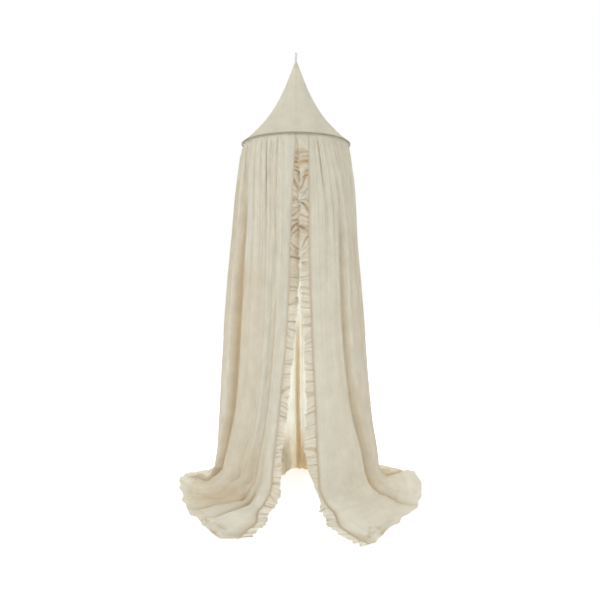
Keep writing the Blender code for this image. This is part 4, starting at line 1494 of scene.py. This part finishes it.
@functools.cache
def stitch_tree():
    """Geometry Nodes that lay a stitch at every step along each line of a mesh of lines."""
    tree = bpy.data.node_groups.new("sewn_rows", "GeometryNodeTree")
    for title, kind in (
        ("Lines", "NodeSocketGeometry"), ("Step", "NodeSocketFloat"), ("Length", "NodeSocketFloat"),
        ("Thread", "NodeSocketFloat"), ("Unevenness", "NodeSocketFloat"), ("Seed", "NodeSocketInt"),
        ("Material", "NodeSocketMaterial"),
    ):
        tree.interface.new_socket(title, in_out="INPUT", socket_type=kind)
    tree.interface.new_socket("Stitches", in_out="OUTPUT", socket_type="NodeSocketGeometry")
    source, result = tree.nodes.new("NodeGroupInput"), tree.nodes.new("NodeGroupOutput")
    given = source.outputs
    curve = add_node(tree, "GeometryNodeMeshToCurve", {"Mesh": given["Lines"]})
    steps = add_node(
        tree, "GeometryNodeResampleCurve", {"Curve": curve.outputs[0], "Length": given["Step"]}, mode="LENGTH"
    )
    size = add_node(
        tree, "ShaderNodeCombineXYZ", {0: given["Length"], 1: given["Thread"], 2: given["Thread"]}
    )
    ball = add_node(tree, "GeometryNodeMeshUVSphere", {"Segments": 6, "Rings": 4, "Radius": 0.5})
    stitch = add_node(tree, "GeometryNodeTransform", {"Geometry": ball.outputs[0], "Scale": size.outputs[0]})
    smooth = add_node(tree, "GeometryNodeSetShadeSmooth", {"Geometry": stitch.outputs[0]})
    shift = add_node(
        tree, "FunctionNodeRandomValue",
        {"Min": (-1.0, -1.0, -1.0), "Max": (1.0, 1.0, 1.0), "Seed": given["Seed"]},
        data_type="FLOAT_VECTOR",
    )
    uneven_by = add_node(
        tree, "ShaderNodeVectorMath", {0: shift.outputs[0], "Scale": given["Unevenness"]}, operation="SCALE"
    )
    tangent = add_node(tree, "GeometryNodeInputTangent")
    heading = add_node(
        tree, "ShaderNodeVectorMath", {0: tangent.outputs[0], 1: uneven_by.outputs[0]}, operation="ADD"
    )
    turned = add_node(tree, "FunctionNodeAlignRotationToVector", {"Vector": heading.outputs[0]}, axis="X")
    placed = add_node(
        tree, "GeometryNodeInstanceOnPoints",
        {"Points": steps.outputs[0], "Instance": smooth.outputs[0], "Rotation": turned.outputs[0]},
    )
    real = add_node(tree, "GeometryNodeRealizeInstances", {"Geometry": placed.outputs[0]})
    dressed = add_node(
        tree, "GeometryNodeSetMaterial", {"Geometry": real.outputs[0], "Material": given["Material"]}
    )
    tree.links.new(dressed.outputs[0], result.inputs[0])
    return tree


def sewn_piece(name, lines, settings):
    """Rows of stitches along lines of points, made with Geometry Nodes and kept as a plain mesh."""
    points = np.concatenate(lines) - np.array([0.0, 0.0, HOOK_HEIGHT])
    ends = np.cumsum([len(line) for line in lines])
    edges = [(k, k + 1) for k in range(len(points) - 1) if k + 1 not in ends]
    mesh = bpy.data.meshes.new(name + "_lines")
    mesh.from_pydata(points.tolist(), edges, [])
    guide = bpy.data.objects.new(name + "_lines", mesh)
    bpy.context.scene.collection.objects.link(guide)
    tree = stitch_tree()
    thread = plain_cloth("sewing_thread", tuple(settings.thread_colour), 0.0004, 0.00004)
    values = {
        "Step": settings.stitch_step, "Length": settings.stitch_length, "Thread": settings.thread_width,
        "Unevenness": 0.10, "Seed": 7, "Material": thread,
    }
    sewing = guide.modifiers.new("sewing", "NODES")
    sewing.node_group = tree
    for socket in tree.interface.items_tree:
        if socket.in_out == "INPUT" and socket.name in values:
            sewing[socket.identifier] = values[socket.name]
    guide.update_tag()
    drawn = guide.evaluated_get(bpy.context.evaluated_depsgraph_get())
    plain = bpy.data.meshes.new_from_object(drawn)
    if not plain.polygons:
        raise RuntimeError(f"{name}: no stitches were made")
    bpy.data.objects.remove(guide)
    plain.name = name
    made = bpy.data.objects.new(name, plain)
    bpy.context.scene.collection.objects.link(made)
    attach(made, "root")
    return made


class CANOPY_OT_stitches(bpy.types.Operator):
    """Sew the rows of stitches: both opening edges, the hem, the heading and the seam of the top"""

    bl_idname = "canopy.stitches"
    bl_label = "Stitches"

    def execute(self, context):
        settings = context.scene.canopy_sewing
        skirt = context.scene.canopy_skirt
        _, part, points, normals, _ = skirt_grid()
        thick = skirt.thickness / 2
        rows = []
        for edge, beside in ((0, 1), (-1, -2)):
            row = points[:, edge] * (1 - settings.edge_share) + points[:, beside] * settings.edge_share
            rows.append(row + normals[:, beside] * thick)
        sewn_piece("edge_stitches", rows, settings)
        rows = []
        for at, half in ((settings.hem_part, skirt.hem_thickness / 2), (settings.heading_part, thick)):
            above = int(np.searchsorted(part, at)) - 1
            share = (at - part[above]) / (part[above + 1] - part[above])
            row = points[above] * (1 - share) + points[above + 1] * share
            rows.append(row + normals[above] * half)
        sewn_piece("hem_stitches", rows[:1], settings)
        sewn_piece("heading_stitches", rows[1:], settings)
        height, radius, slant, normal = cone_profile()
        body = (slant > 0.05) & (slant < slant[-1] - 0.004)
        lift = thick + settings.thread_width
        raised = radius + normal[:, 0] * lift
        rise = HOOP_HEIGHT + height + normal[:, 1] * lift
        rows = [
            np.stack([side + 0 * rise, -np.sqrt(np.maximum(raised**2 - side**2, 0.0)), rise], axis=1)[body]
            for side in (-settings.seam_gap, settings.seam_gap)
        ]
        sewn_piece("seam_stitches", rows, settings)
        return {"FINISHED"}


class CANOPY_OT_stage(bpy.types.Operator):
    """Make the floor, the camera and the soft white light"""

    bl_idname = "canopy.stage"
    bl_label = "Floor, camera and light"

    def execute(self, context):
        settings = context.scene.canopy_stage
        scene = context.scene
        scene.view_settings.view_transform = "Standard"
        floor_mesh = bpy.data.meshes.new("floor")
        low, far = -HOOK_HEIGHT - FLOOR_GAP, FLOOR_HALF
        floor_mesh.from_pydata(
            [(-far, -far, low), (far, -far, low), (far, far, low), (-far, far, low)], [], [(0, 1, 2, 3)]
        )
        floor = bpy.data.objects.new("floor", floor_mesh)
        scene.collection.objects.link(floor)
        pale, _, shader, _ = new_material("pale_floor")
        shader.inputs["Base Color"].default_value = FLOOR_COLOUR
        shader.inputs["Emission Color"].default_value = (1.0, 1.0, 1.0, 1.0)
        shader.inputs["Emission Strength"].default_value = settings.floor_glow
        shader.inputs["Roughness"].default_value = 1.0
        shader.inputs["Specular IOR Level"].default_value = 0.0
        floor_mesh.materials.append(pale)

        camera_data = bpy.data.cameras.new("camera")
        camera_data.lens = settings.lens
        camera_data.sensor_width = SENSOR_WIDTH
        camera = bpy.data.objects.new("camera", camera_data)
        camera.location = (0.0, -settings.distance, settings.eye_height - HOOK_HEIGHT)
        camera.rotation_euler = (math.pi / 2 - settings.tip, 0.0, -settings.turn)
        scene.collection.objects.link(camera)
        scene.camera = camera

        sky = bpy.data.worlds.new("white_surround")
        sky.use_nodes = True
        sky.node_tree.nodes["Background"].inputs["Color"].default_value = (1.0, 1.0, 1.0, 1.0)
        sky.node_tree.nodes["Background"].inputs["Strength"].default_value = settings.sky
        scene.world = sky

        for lamp in LAMPS:
            data = bpy.data.lights.new(lamp.name, "AREA")
            data.shape = "SQUARE"
            data.size = lamp.width
            data.energy = getattr(settings, lamp.setting)
            data.color = lamp.colour
            light = bpy.data.objects.new(lamp.name, data)
            light.location = lamp.place
            facing = Vector(lamp.aim) - Vector(lamp.place)
            light.rotation_euler = facing.to_track_quat("-Z", "Y").to_euler()
            light.visible_camera = False
            scene.collection.objects.link(light)
        return {"FINISHED"}


PIECES = (
    CANOPY_OT_loop,
    CANOPY_OT_cone,
    CANOPY_OT_hoop,
    CANOPY_OT_skirt,
    CANOPY_OT_ruffles,
    CANOPY_OT_stitches,
    CANOPY_OT_stage,
)


class CANOPY_PT_pieces(bpy.types.Panel):
    """The canopy's sizes and colours, and a button for each piece"""

    bl_idname = "CANOPY_PT_pieces"
    bl_label = "Muslin bed canopy"
    bl_space_type = "VIEW_3D"
    bl_region_type = "UI"
    bl_category = "Canopy"

    def draw(self, context):
        for group in SETTINGS:
            settings = getattr(context.scene, group)
            box = self.layout.box()
            for name in settings.__annotations__:
                box.prop(settings, name)
        for piece in PIECES:
            self.layout.operator(piece.bl_idname)


SETTINGS = {
    "canopy_cloth": CanopyClothSettings,
    "canopy_skirt": CanopySkirtSettings,
    "canopy_sewing": CanopySewingSettings,
    "canopy_stage": CanopyStageSettings,
}


def register():
    """Add the settings, the operators and the panel."""
    for name, group in SETTINGS.items():
        bpy.utils.register_class(group)
        setattr(bpy.types.Scene, name, PointerProperty(type=group))
    for piece in (*PIECES, CANOPY_PT_pieces):
        bpy.utils.register_class(piece)


def unregister():
    """Take them out again."""
    for piece in (*PIECES, CANOPY_PT_pieces):
        bpy.utils.unregister_class(piece)
    for name, group in SETTINGS.items():
        delattr(bpy.types.Scene, name)
        bpy.utils.unregister_class(group)


def main():
    """Make every piece in order."""
    register()
    bpy.ops.canopy.loop()
    bpy.ops.canopy.cone()
    bpy.ops.canopy.hoop()
    bpy.ops.canopy.skirt()
    bpy.ops.canopy.ruffles()
    bpy.ops.canopy.stitches()
    bpy.ops.canopy.stage()


if __name__ == "__main__":
    main()
